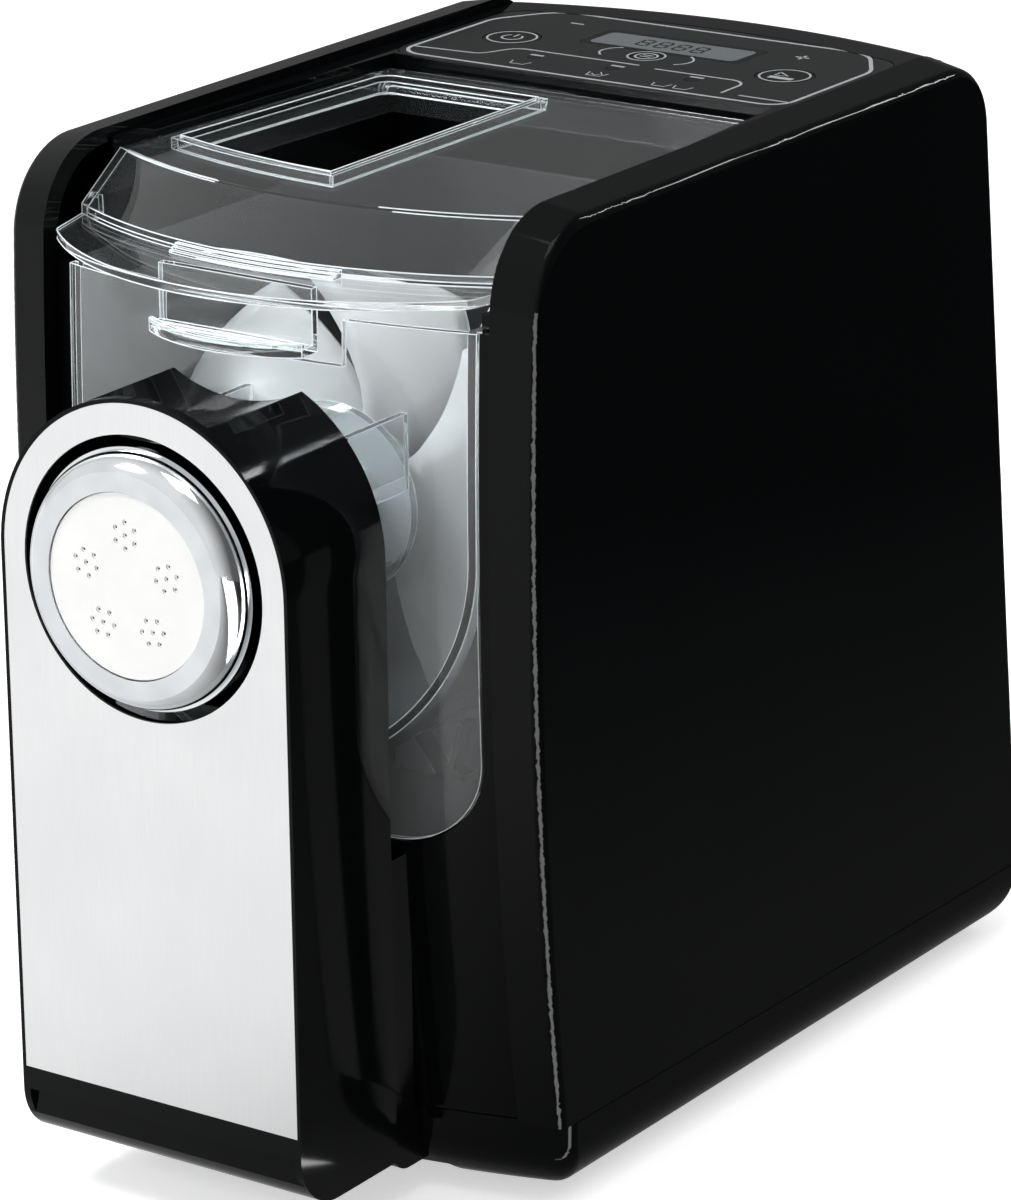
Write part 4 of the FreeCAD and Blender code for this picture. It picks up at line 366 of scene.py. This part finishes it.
def studio_world():
    """Even grey room for lighting. The camera and glass see it white, metal and gloss see a white front."""
    world = bpy.data.worlds.new("studio_world")
    world.use_nodes = True
    tree = world.node_tree
    tree.nodes.clear()
    way = node(tree, "ShaderNodeTexCoord").outputs["Generated"]
    lean = node(tree, "ShaderNodeVectorMath", {"operation": "DOT_PRODUCT", 1: (-0.5, -0.8, 0.15)}, {0: way})
    mirrored = node(tree, "ShaderNodeMapRange",
                    {"From Min": -0.3, "From Max": 0.5, "To Min": 0.14, "To Max": 1.0},
                    {"Value": lean.outputs["Value"]})
    path = node(tree, "ShaderNodeLightPath")
    seen = node(tree, "ShaderNodeMath", {"operation": "MAXIMUM"},
                {0: path.outputs["Is Camera Ray"], 1: path.outputs["Is Transmission Ray"]})
    plain = node(tree, "ShaderNodeMapRange", {"To Min": 0.5, "To Max": 1.0}, {"Value": seen.outputs[0]})
    strength = node(tree, "ShaderNodeMix", {"data_type": "FLOAT"},
                    {0: path.outputs["Is Glossy Ray"], 2: plain.outputs[0], 3: mirrored.outputs[0]})
    back = node(tree, "ShaderNodeBackground", {"Color": colour("#ffffff")}, {"Strength": strength.outputs[0]})
    node(tree, "ShaderNodeOutputWorld", links={"Surface": back.outputs[0]})
    bpy.context.scene.world = world


def softbox(name, place, aim, size, watts):
    """Rectangular soft lamp that points at a place."""
    lamp = bpy.data.lights.new(name, "AREA")
    lamp.shape = "RECTANGLE"
    lamp.size, lamp.size_y = size
    lamp.energy = watts
    made = bpy.data.objects.new(name, lamp)
    made.location = place
    made.rotation_euler = (Vector(aim) - Vector(place)).to_track_quat("-Z", "Y").to_euler()
    bpy.context.scene.collection.objects.link(made)


studio_floor()
studio_world()
middle = (0.0, 0.0, 0.16)
softbox("high_left_softbox", (-1.0, -0.9, 1.7), middle, (0.5, 0.5), 20)
softbox("front_left_softbox", (-1.15, -1.62, 1.0), middle, (0.5, 0.4), 12)
softbox("rear_rim_strip", (0.80, 1.55, 1.30), middle, (0.10, 1.0), 8)
softbox("top_softbox", (0.3, -0.4, 2.1), middle, (0.9, 0.9), 8)


# Carried-over parts with smooth moulded faces

def body_with(name):
    """Body that a CAD node belongs to."""
    return next(body for body, names in frame["record"]["behaviour"]["bodies"].items() if name in names)


def add_piece(name, mesh, body, finish=None):
    """Links a mesh as a piece that rides on a body."""
    if finish is not None:
        mesh.materials.clear()
        mesh.materials.append(finish)
    piece = bpy.data.objects.new(name, mesh)
    bpy.context.scene.collection.objects.link(piece)
    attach(piece, body)
    return piece


def merged(name):
    """A CAD part's mesh in bmesh, with the corners of its loose triangles joined."""
    work = bmesh.new()
    work.from_mesh(frame["nodes"][name].data)
    bmesh.ops.remove_doubles(work, verts=work.verts, dist=0.001 * MM)
    return work


FLAT_WITHIN = math.radians(0.2)
CREASE_OVER = math.radians(30.0)


def smooth_copy(name):
    """Copy that stands for a CAD part: its flat faces stay flat and its curved ones turn smooth."""
    mesh = frame["nodes"][name].data.copy()
    work = merged(name)
    bmesh.ops.dissolve_limit(work, angle_limit=FLAT_WITHIN, verts=work.verts, edges=work.edges)
    bmesh.ops.triangulate(work, faces=[face for face in work.faces if len(face.verts) > 4])
    work.to_mesh(mesh)
    work.free()
    if mesh.has_custom_normals:
        mesh.attributes.remove(mesh.attributes["custom_normal"])
    mesh.set_sharp_from_angle(angle=CREASE_OVER)
    piece = add_piece(name + "_moulded", mesh, body_with(name))
    weighted = piece.modifiers.new("even_normals", "WEIGHTED_NORMAL")
    weighted.keep_sharp = True
    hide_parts(name)


for shown in ("side_cover_left", "side_cover_right", "front_frame", "base_tray", "rear_cover", "top_deck",
              "lid", "bucket", "extrusion_barrel", "lock_nut", "front_cover", "face_plate", "mixing_paddle",
              "extrusion_screw", "cord_gland", "rubber_feet", "die_disc", "chamber_well", "power_key",
              "mode_key", "start_key", "control_overlay", "display_window"):
    smooth_copy(shown)

# The lid's rear edge is eased, so that it clears the deck as the lid swings up.
LID_EASE = 0.55 * MM
for corner in bpy.data.objects["lid_moulded"].data.vertices:
    if corner.co.y > LID_REAR:
        corner.co.y -= LID_EASE


def solid_from(name, outline_faces, height):
    """Thin solid that stands on flat outlines: each is a list of (x, y, z) corners, lifted by a height."""
    work = bmesh.new()
    for corners in outline_faces:
        low = [work.verts.new(corner) for corner in corners]
        high = [work.verts.new((corner[0], corner[1], corner[2] + height)) for corner in corners]
        work.faces.new(low)
        work.faces.new(high)
        for index in range(len(corners)):
            after = (index + 1) % len(corners)
            work.faces.new((low[index], low[after], high[after], high[index]))
    bmesh.ops.recalc_face_normals(work, faces=work.faces)
    mesh = bpy.data.meshes.new(name)
    work.to_mesh(mesh)
    work.free()
    return mesh


def rounded(corners, radii, closed=False, steps=8):
    """Path through corners in millimetres whose turns are arcs of the given radii."""
    path = []
    count = len(corners)
    for index, (x, y) in enumerate(corners):
        radius = radii[index]
        if radius == 0 or (not closed and index in (0, count - 1)):
            path.append((x, y))
            continue
        before, after = Vector(corners[index - 1]), Vector(corners[(index + 1) % count])
        here = Vector((x, y))
        back, ahead = (before - here).normalized(), (after - here).normalized()
        half = back.angle(ahead) / 2
        reach = radius / math.tan(half)
        centre = here + (back + ahead).normalized() * (radius / math.sin(half))
        start, end = here + back * reach - centre, here + ahead * reach - centre
        turn = start.angle_signed(end)
        for step in range(steps + 1):
            a = -turn * step / steps
            path.append((centre.x + start.x * math.cos(a) - start.y * math.sin(a),
                         centre.y + start.x * math.sin(a) + start.y * math.cos(a)))
    return path


def printed_line(path, width, height_z, closed=False):
    """Faces of a printed line along a path, in metres."""
    count = len(path)
    sides = []
    for index in range(count):
        before = path[index - 1] if closed or index else path[index]
        after = path[(index + 1) % count] if closed or index < count - 1 else path[index]
        along = (Vector(after) - Vector(before)).normalized()
        across = Vector((-along.y, along.x)) * width / 2
        here = Vector(path[index])
        edges = (here + across, here - across)
        sides.append([(edge.x * MM, edge.y * MM, height_z) for edge in edges])
    spans = range(count if closed else count - 1)
    return [[sides[i][0], sides[(i + 1) % count][0], sides[(i + 1) % count][1], sides[i][1]] for i in spans]


def ring_path(x, y, rx, ry, start=0, end=360, steps=40):
    """Points of an oval or of an arc of it, in millimetres and degrees."""
    turns = [math.radians(start + (end - start) * i / steps) for i in range(steps + 1)]
    return [(x + rx * math.cos(a), y + ry * math.sin(a)) for a in turns]


# Print on the control overlay, in millimetres: border, field lines, rings, steps, plus and minus

overlay_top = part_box("control_overlay")[1].z + 0.02 * MM
print_faces = printed_line(rounded([(-73, 53), (73, 53), (73, 108), (60, 129), (-60, 129), (-73, 108)],
                                   (9, 8, 14, 16, 16, 14), True), 1.3, overlay_top, True)
for path, width in (
        (rounded([(-72.3, 62), (-48, 64), (-42, 77), (5, 77)], (0, 5, 6, 0)), 0.9),
        (rounded([(12, 75.5), (47, 75.5), (47.5, 59)], (0, 6, 0)), 0.9),
        (((54, 59), (72.3, 59)), 0.9),
        (ring_path(0, 89, 17, 10, 140, 215), 0.7), (ring_path(0, 89, 17, 10, -35, 40), 0.7),
        (ring_path(0, 89, 6.2, 6.2), 0.6),
        (((41.5, 113.5), (46.5, 113.5)), 0.9), (((44, 111), (44, 116)), 0.9),
        (((-47.5, 116.5), (-42.5, 116.5)), 0.9),
        (((-33.5, 62), (-32.5, 58.5), (-27.5, 58.5), (-26.5, 62)), 0.5),
        (((-3.5, 61.5), (-2.5, 57.5), (2.5, 57.5), (3.5, 61.5)), 0.5),
        (((-2, 60), (0, 58.5), (2, 60), (0, 62.5)), 0.45),
        (((22, 60), (23, 56.5), (27.5, 56.5), (28.5, 60)), 0.5),
        (((30, 60), (31, 56.5), (35.5, 56.5), (36.5, 60)), 0.5),
        (((-28.2, 71.6), (-33.2, 71.6)), 1.3), (((-2.5, 72.4), (2.5, 72.4)), 1.3),
        (((27.5, 72.4), (32.5, 72.4)), 1.3)):
    print_faces += printed_line(path, width, overlay_top)
add_piece("overlay_print", solid_from("overlay_print", print_faces, INK), "housing", grey_ink)

for key, x, radius in (("power_key", -52.4, 9.5), ("start_key", 52.4, 9.5), ("mode_key", 0, 5)):
    y = 89
    rim = radius - 1.3
    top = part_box(key)[1].z + 0.01 * MM
    faces = printed_line(ring_path(x, y, rim, rim), 0.7, top)
    if key == "power_key":
        faces += printed_line(ring_path(x, y, 3.4, 3.4, 125, 415), 0.7, top)
        faces += printed_line(((x, y + 1), (x, y + 4.4)), 0.7, top)
    if key == "start_key":
        faces += printed_line(((x - 4, y - 3.2), (x + 4.8, y - 3.2)), 2.6, top)
        arrow = ((x - 3.4, y + 3.4), (x + 1.2, y), (x - 3.4, y - 0.6), (x - 3.4, y + 3.4))
        faces += printed_line(arrow, 0.7, top)
    if key == "mode_key":
        faces += printed_line(((x - 2, y + 1.2), (x + 2, y + 1.2)), 0.6, top)
        faces += printed_line(((x - 2, y - 0.8), (x + 2, y - 0.8)), 0.6, top)
    add_piece(key + "_print", solid_from(key + "_print", faces, INK), body_with(key), grey_ink)


# Display film and its digits

def digit_tree():
    """Geometry nodes for a row of seven-bar digits: bars on a 2 by 3 ladder, repeated along X."""
    tree = bpy.data.node_groups.new("display_digits", "GeometryNodeTree")
    face = tree.interface
    for label, value in (("Width", 4.0 * MM), ("Height", 7.5 * MM), ("Bar", 0.9 * MM), ("Pitch", 7.0 * MM),
                         ("Thick", 0.05 * MM)):
        face.new_socket(label, in_out="INPUT", socket_type="NodeSocketFloat").default_value = value
    face.new_socket("Count", in_out="INPUT", socket_type="NodeSocketInt").default_value = 4
    face.new_socket("Finish", in_out="INPUT", socket_type="NodeSocketMaterial")
    face.new_socket("Place", in_out="INPUT", socket_type="NodeSocketVector")
    face.new_socket("Geometry", in_out="OUTPUT", socket_type="NodeSocketGeometry")
    given = node(tree, "NodeGroupInput").outputs
    half = node(tree, "ShaderNodeMath", {"operation": "MULTIPLY", 1: 0.5}, {0: given["Height"]})
    clear_w = node(tree, "ShaderNodeMath", {"operation": "SUBTRACT"}, {0: given["Width"], 1: given["Bar"]})
    clear_h = node(tree, "ShaderNodeMath", {"operation": "SUBTRACT"}, {0: half.outputs[0], 1: given["Bar"]})
    flat_size = node(tree, "ShaderNodeCombineXYZ",
                     links={0: clear_w.outputs[0], 1: given["Bar"], 2: given["Thick"]})
    tall_size = node(tree, "ShaderNodeCombineXYZ",
                     links={0: given["Bar"], 1: clear_h.outputs[0], 2: given["Thick"]})
    flat_bar = node(tree, "GeometryNodeMeshCube", links={"Size": flat_size.outputs[0]})
    tall_bar = node(tree, "GeometryNodeMeshCube", links={"Size": tall_size.outputs[0]})
    rungs = node(tree, "GeometryNodeMeshLine", {"Count": 3},
                 {"Offset": node(tree, "ShaderNodeCombineXYZ", links={1: half.outputs[0]}).outputs[0]})
    posts = node(tree, "GeometryNodeMeshGrid", {"Vertices X": 2, "Vertices Y": 2},
                 {"Size X": given["Width"], "Size Y": half.outputs[0]})
    centred = node(tree, "GeometryNodeTransform", links={
        "Geometry": posts.outputs["Mesh"],
        "Translation": node(tree, "ShaderNodeCombineXYZ", links={1: half.outputs[0]}).outputs[0]})
    flats = node(tree, "GeometryNodeInstanceOnPoints",
                 links={"Points": rungs.outputs[0], "Instance": flat_bar.outputs[0]})
    talls = node(tree, "GeometryNodeInstanceOnPoints",
                 links={"Points": centred.outputs[0], "Instance": tall_bar.outputs[0]})
    digit = node(tree, "GeometryNodeJoinGeometry")
    tree.links.new(flats.outputs[0], digit.inputs[0])
    tree.links.new(talls.outputs[0], digit.inputs[0])
    row = node(tree, "GeometryNodeMeshLine", links={
        "Count": given["Count"], "Start Location": given["Place"],
        "Offset": node(tree, "ShaderNodeCombineXYZ", links={0: given["Pitch"]}).outputs[0]})
    many = node(tree, "GeometryNodeInstanceOnPoints",
                links={"Points": row.outputs[0], "Instance": digit.outputs[0]})
    real = node(tree, "GeometryNodeRealizeInstances", links={0: many.outputs[0]})
    dressed = node(tree, "GeometryNodeSetMaterial",
                   links={"Geometry": real.outputs[0], "Material": given["Finish"]})
    node(tree, "NodeGroupOutput", links={0: dressed.outputs[0]})
    return tree


def grown(name, tree, body, start_mesh=None, **sizes):
    """Runs a geometry node tree with its named sizes and keeps the result as a plain mesh on a body."""
    seed = bpy.data.objects.new(name + "_seed", start_mesh or bpy.data.meshes.new(name + "_seed"))
    bpy.context.scene.collection.objects.link(seed)
    maker = seed.modifiers.new(name, "NODES")
    maker.node_group = tree
    for item in tree.interface.items_tree:
        if item.item_type == "SOCKET" and item.in_out == "INPUT" and item.name in sizes:
            maker[item.identifier] = sizes[item.name]
    bpy.context.view_layer.update()
    mesh = bpy.data.meshes.new_from_object(seed.evaluated_get(bpy.context.evaluated_depsgraph_get()))
    mesh.name = name
    bpy.data.objects.remove(seed)
    return add_piece(name, mesh, body)


window_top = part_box("display_window")[1].z
film_faces = [[(x * MM, y * MM, window_top + 0.02 * MM) for x, y in
               rounded([(-28, 97), (28, 97), (28, 112.5), (-28, 112.5)], (2.5, 2.5, 2.5, 2.5), True)]]
add_piece("display_film", solid_from("display_film", film_faces, INK), "housing", lcd_grey)
digits = grown("display_digits", digit_tree(), "housing", Finish=smoked,
               Place=(-10.5 * MM, 101 * MM, window_top + 0.08 * MM))


# Painted highlights along the moulded edges of the clear parts: whitish lines that stand in for the light
# those edges catch

def edge_tree():
    """Geometry nodes that follow a net of edges with a thin round line, for painted edge highlights."""
    tree = bpy.data.node_groups.new("painted_edge_highlight_lines", "GeometryNodeTree")
    face = tree.interface
    face.new_socket("Edges", in_out="INPUT", socket_type="NodeSocketGeometry")
    face.new_socket("Radius", in_out="INPUT", socket_type="NodeSocketFloat").default_value = 0.2 * MM
    face.new_socket("Finish", in_out="INPUT", socket_type="NodeSocketMaterial")
    face.new_socket("Geometry", in_out="OUTPUT", socket_type="NodeSocketGeometry")
    given = node(tree, "NodeGroupInput").outputs
    lines = node(tree, "GeometryNodeMeshToCurve", links={0: given["Edges"]})
    section = node(tree, "GeometryNodeCurvePrimitiveCircle", {"Resolution": 6}, {"Radius": given["Radius"]})
    tube = node(tree, "GeometryNodeCurveToMesh", {"Fill Caps": True},
                {0: lines.outputs[0], 1: section.outputs[0]})
    real = node(tree, "GeometryNodeRealizeInstances", links={0: tube.outputs[0]})
    dressed = node(tree, "GeometryNodeSetMaterial",
                   links={"Geometry": real.outputs[0], "Material": given["Finish"]})
    node(tree, "NodeGroupOutput", links={0: dressed.outputs[0]})
    return tree


EDGE_OVER = math.radians(35.0)


def edge_lines(name, tree, radius):
    """Painted highlight: a whitish line along each moulded edge of a clear CAD part, except at the lid's
    rear, where it hinges.
    """
    work = merged(name)
    soft = [edge for edge in work.edges
            if len(edge.link_faces) != 2 or edge.calc_face_angle() < EDGE_OVER
            or max(vert.co.y for vert in edge.verts) > LID_REAR - 3 * MM]
    bmesh.ops.delete(work, geom=list(work.faces), context="FACES_ONLY")
    bmesh.ops.delete(work, geom=[edge for edge in soft if edge.is_valid], context="EDGES")
    mesh = bpy.data.meshes.new(name + "_edges_seed")
    work.to_mesh(mesh)
    work.free()
    grown(name + "_edges", tree, body_with(name), mesh, Radius=radius, Finish=edge_highlight_paint)


lines_tree = edge_tree()
edge_lines("lid", lines_tree, 0.22 * MM)
edge_lines("bucket", lines_tree, 0.16 * MM)
edge_lines("extrusion_barrel", lines_tree, 0.14 * MM)


# Inserts that narrow the holes of the pasta die

def insert_tree():
    """Geometry nodes for a ring insert in each hole of the die: outer and inner radius, and depth."""
    tree = bpy.data.node_groups.new("die_hole_inserts", "GeometryNodeTree")
    face = tree.interface
    face.new_socket("Holes", in_out="INPUT", socket_type="NodeSocketGeometry")
    for label, value in (("Outer", 0.88 * MM), ("Inner", 0.42 * MM), ("Depth", 0.5 * MM)):
        face.new_socket(label, in_out="INPUT", socket_type="NodeSocketFloat").default_value = value
    face.new_socket("Finish", in_out="INPUT", socket_type="NodeSocketMaterial")
    face.new_socket("Geometry", in_out="OUTPUT", socket_type="NodeSocketGeometry")
    given = node(tree, "NodeGroupInput").outputs
    total = node(tree, "ShaderNodeMath", {"operation": "ADD"}, {0: given["Outer"], 1: given["Inner"]})
    middle_radius = node(tree, "ShaderNodeMath", {"operation": "MULTIPLY", 1: 0.5}, {0: total.outputs[0]})
    wall = node(tree, "ShaderNodeMath", {"operation": "SUBTRACT"}, {0: given["Outer"], 1: given["Inner"]})
    ring = node(tree, "GeometryNodeCurvePrimitiveCircle", {"Resolution": 16},
                {"Radius": middle_radius.outputs[0]})
    section = node(tree, "GeometryNodeCurvePrimitiveQuadrilateral",
                   links={"Width": wall.outputs[0], "Height": given["Depth"]})
    insert = node(tree, "GeometryNodeCurveToMesh", links={0: ring.outputs[0], 1: section.outputs[0]})
    turned = node(tree, "GeometryNodeTransform", {"Rotation": (math.pi / 2, 0.0, 0.0)},
                  {"Geometry": insert.outputs[0]})
    many = node(tree, "GeometryNodeInstanceOnPoints",
                links={"Points": given["Holes"], "Instance": turned.outputs[0]})
    real = node(tree, "GeometryNodeRealizeInstances", links={0: many.outputs[0]})
    dressed = node(tree, "GeometryNodeSetMaterial",
                   links={"Geometry": real.outputs[0], "Material": given["Finish"]})
    node(tree, "NodeGroupOutput", links={0: dressed.outputs[0]})
    return tree


DIE_GROUPS = 5
GROUP_CIRCLE = 15.5
HOLES_ROUND = 6
HOLE_CIRCLE = 4.0
INSERT_BACK = 0.55 * MM


def die_holes():
    """Centres of the die's holes: groups on a circle, each of one hole with six round it."""
    spots = []
    for group in range(DIE_GROUPS):
        a = math.radians(90 + 360 / DIE_GROUPS * group)
        x, z = GROUP_CIRCLE * math.cos(a), SCREW_AXIS + GROUP_CIRCLE * math.sin(a)
        spots.append((x, z))
        turns = [a + math.radians(360 / HOLES_ROUND * k) for k in range(HOLES_ROUND)]
        spots += [(x + HOLE_CIRCLE * math.cos(turn), z + HOLE_CIRCLE * math.sin(turn)) for turn in turns]
    mesh = bpy.data.meshes.new("die_holes")
    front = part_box("die_disc")[0].y + INSERT_BACK
    mesh.from_pydata([(x * MM, front, z * MM) for x, z in spots], [], [])
    return mesh


grown("die_inserts", insert_tree(), "bucket", die_holes(), Finish=acetal)


# Screws with a cross recess and a rolled thread

def screw_tree():
    """Geometry nodes for cross-head screws that stand head up on points."""
    tree = bpy.data.node_groups.new("cross_head_screws", "GeometryNodeTree")
    face = tree.interface
    face.new_socket("Places", in_out="INPUT", socket_type="NodeSocketGeometry")
    for label, value in (("Head Radius", 3.1 * MM), ("Head Height", SCREW_HEAD), ("Shank Radius", 1.6 * MM),
                         ("Length", 11.0 * MM), ("Pitch", 1.2 * MM), ("Thread", 0.28 * MM)):
        face.new_socket(label, in_out="INPUT", socket_type="NodeSocketFloat").default_value = value
    face.new_socket("Turn", in_out="INPUT", socket_type="NodeSocketVector")
    face.new_socket("Finish", in_out="INPUT", socket_type="NodeSocketMaterial")
    face.new_socket("Geometry", in_out="OUTPUT", socket_type="NodeSocketGeometry")
    given = node(tree, "NodeGroupInput").outputs
    head = node(tree, "GeometryNodeMeshCylinder", {"Vertices": 24},
                {"Radius": given["Head Radius"], "Depth": given["Head Height"]})
    bar_long = node(tree, "ShaderNodeMath", {"operation": "MULTIPLY", 1: 1.2}, {0: given["Head Radius"]})
    bar_wide = node(tree, "ShaderNodeMath", {"operation": "MULTIPLY", 1: 0.28}, {0: given["Head Radius"]})
    first_size = node(tree, "ShaderNodeCombineXYZ",
                      links={0: bar_long.outputs[0], 1: bar_wide.outputs[0], 2: given["Head Height"]})
    second_size = node(tree, "ShaderNodeCombineXYZ",
                       links={0: bar_wide.outputs[0], 1: bar_long.outputs[0], 2: given["Head Height"]})
    first_bar = node(tree, "GeometryNodeMeshCube", links={"Size": first_size.outputs[0]})
    second_bar = node(tree, "GeometryNodeMeshCube", links={"Size": second_size.outputs[0]})
    half_head = node(tree, "ShaderNodeMath", {"operation": "MULTIPLY", 1: 0.5}, {0: given["Head Height"]})
    lift = node(tree, "ShaderNodeCombineXYZ", links={2: half_head.outputs[0]})
    cross = node(tree, "GeometryNodeMeshBoolean", {"operation": "UNION"})
    tree.links.new(first_bar.outputs[0], cross.inputs["Mesh 2"])
    tree.links.new(second_bar.outputs[0], cross.inputs["Mesh 2"])
    raised = node(tree, "GeometryNodeTransform",
                  links={"Geometry": cross.outputs[0], "Translation": lift.outputs[0]})
    driven = node(tree, "GeometryNodeMeshBoolean", {"operation": "DIFFERENCE"}, {"Mesh 1": head.outputs[0]})
    tree.links.new(raised.outputs[0], driven.inputs["Mesh 2"])
    shank = node(tree, "GeometryNodeMeshCylinder", {"Vertices": 16},
                 {"Radius": given["Shank Radius"], "Depth": given["Length"]})
    reach = node(tree, "ShaderNodeMath", {"operation": "ADD"}, {0: given["Length"], 1: given["Head Height"]})
    down = node(tree, "ShaderNodeMath", {"operation": "MULTIPLY", 1: -0.5}, {0: reach.outputs[0]})
    lower = node(tree, "ShaderNodeCombineXYZ", links={2: down.outputs[0]})
    stem = node(tree, "GeometryNodeTransform",
                links={"Geometry": shank.outputs[0], "Translation": lower.outputs[0]})
    turns = node(tree, "ShaderNodeMath", {"operation": "DIVIDE"}, {0: given["Length"], 1: given["Pitch"]})
    helix = node(tree, "GeometryNodeCurveSpiral", {"Resolution": 14}, {
        "Rotations": turns.outputs[0], "Height": given["Length"],
        "Start Radius": given["Shank Radius"], "End Radius": given["Shank Radius"]})
    ridge = node(tree, "GeometryNodeCurvePrimitiveCircle", {"Resolution": 3}, {"Radius": given["Thread"]})
    thread = node(tree, "GeometryNodeCurveToMesh", {"Fill Caps": True},
                  {0: helix.outputs[0], 1: ridge.outputs[0]})
    under_head = node(tree, "ShaderNodeMath", {"operation": "MULTIPLY", 1: -0.5}, {0: given["Head Height"]})
    full = node(tree, "ShaderNodeMath", {"operation": "MULTIPLY_ADD", 1: -1.0},
                {0: given["Length"], 2: under_head.outputs[0]})
    thread_down = node(tree, "ShaderNodeCombineXYZ", links={2: full.outputs[0]})
    rolled = node(tree, "GeometryNodeTransform",
                  links={"Geometry": thread.outputs[0], "Translation": thread_down.outputs[0]})
    screw = node(tree, "GeometryNodeJoinGeometry")
    for source in (driven, stem, rolled):
        tree.links.new(source.outputs[0], screw.inputs[0])
    many = node(tree, "GeometryNodeInstanceOnPoints",
                links={"Points": given["Places"], "Instance": screw.outputs[0], "Rotation": given["Turn"]})
    real = node(tree, "GeometryNodeRealizeInstances", links={0: many.outputs[0]})
    dressed = node(tree, "GeometryNodeSetMaterial",
                   links={"Geometry": real.outputs[0], "Material": given["Finish"]})
    node(tree, "NodeGroupOutput", links={0: dressed.outputs[0]})
    return tree


def screw_places(name, axis, head_at_low):
    """Middle of each screw's head in a CAD group of screws."""
    work = merged(name)
    left, middles = set(work.verts), []
    while left:
        group, front = set(), [left.pop()]
        while front:
            here = front.pop()
            group.add(here)
            near = [edge.other_vert(here) for edge in here.link_edges]
            front += [vert for vert in near if vert in left]
            left.difference_update(near)
        low = Vector([min(vert.co[i] for vert in group) for i in range(3)])
        high = Vector([max(vert.co[i] for vert in group) for i in range(3)])
        spot = (low + high) / 2
        spot[axis] = low[axis] + SCREW_HEAD / 2 if head_at_low else high[axis] - SCREW_HEAD / 2
        middles.append(spot)
    work.free()
    mesh = bpy.data.meshes.new(name + "_places")
    mesh.from_pydata(middles, [], [])
    return mesh


screws = screw_tree()
for name, axis, head_at_low, turn, long in (
        ("base_screws", 2, True, (math.pi, 0.0, 0.0), 11.0 * MM),
        ("gearbox_screws", 1, False, (-math.pi / 2, 0.0, 0.0), 10.6 * MM)):
    places = screw_places(name, axis, head_at_low)
    heads = grown(name + "_cross_head", screws, body_with(name), places, Turn=turn, Finish=bar_steel,
                  Length=long)
    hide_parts(name)


# White wings at the front of the mixing paddle, in millimetres

WING_ROOT = 12.0
WING_TIP = 66.5
WING_TAPER = 0.35
WING_WALL = 2.6 * MM
WING_ROWS, WING_COLUMNS = 14, 8


def wing(name, root_turn, tip_turn, front_y, back_y):
    """Broad twisted wing from the hub to the chamber wall. Angles run from X in degrees, front edge first."""
    work = bmesh.new()
    rows = []
    for i in range(WING_ROWS + 1):
        u = i / WING_ROWS
        radius = WING_ROOT + (WING_TIP - WING_ROOT) * u
        row = []
        for j in range(WING_COLUMNS + 1):
            w = j / WING_COLUMNS
            first = root_turn[0] + (tip_turn[0] - root_turn[0]) * u
            last = root_turn[1] + (tip_turn[1] - root_turn[1]) * u
            a = math.radians(first + (last - first) * w)
            y = front_y + (back_y - front_y) * w * (1 - WING_TAPER * u)
            z = SCREW_AXIS + radius * math.sin(a)
            row.append(work.verts.new((radius * math.cos(a) * MM, y * MM, z * MM)))
        rows.append(row)
    for low, high in zip(rows, rows[1:]):
        for j in range(WING_COLUMNS):
            work.faces.new((low[j], low[j + 1], high[j + 1], high[j]))
    mesh = bpy.data.meshes.new(name)
    work.to_mesh(mesh)
    work.free()
    mesh.shade_smooth()
    piece = add_piece(name, mesh, "paddle", paddle_white_shaded)
    wall = piece.modifiers.new("wall", "SOLIDIFY")
    wall.thickness = WING_WALL
    wall.offset = 0.0


wing("upper_left_wing", (130, 95), (165, 122), -76.0, -58.0)
wing("upper_wing", (70, 20), (104, 62), -76.0, -52.0)
wing("right_wing", (25, -85), (50, -72), -76.0, -58.0)


# Black sheet under the chamber well, painted shade that closes the view into the base, in millimetres

SHADE_SHEET_HALF = 78
SHADE_SHEET_AT = (-78, -52, -26, 0, 26, 52, 78)
SHADE_SHEET_BULGE = 0.00035
SHADE_SHEET_LOW = 112
SHADE_SHEET_HIGH = 19.0 * MM
shade_sheet_front = [(x, -104.0 - SHADE_SHEET_BULGE * (SHADE_SHEET_HALF - abs(x)) ** 2) for x in SHADE_SHEET_AT]
shade_sheet_back = [(SHADE_SHEET_HALF, -101.5), (-SHADE_SHEET_HALF, -101.5)]
shade_sheet = [[(x * MM, y * MM, SHADE_SHEET_LOW * MM) for x, y in shade_sheet_front + shade_sheet_back]]
shade_sheet_piece = add_piece("well_shade_sheet", solid_from("well_shade_sheet", shade_sheet, SHADE_SHEET_HIGH), "housing", gloss_black)
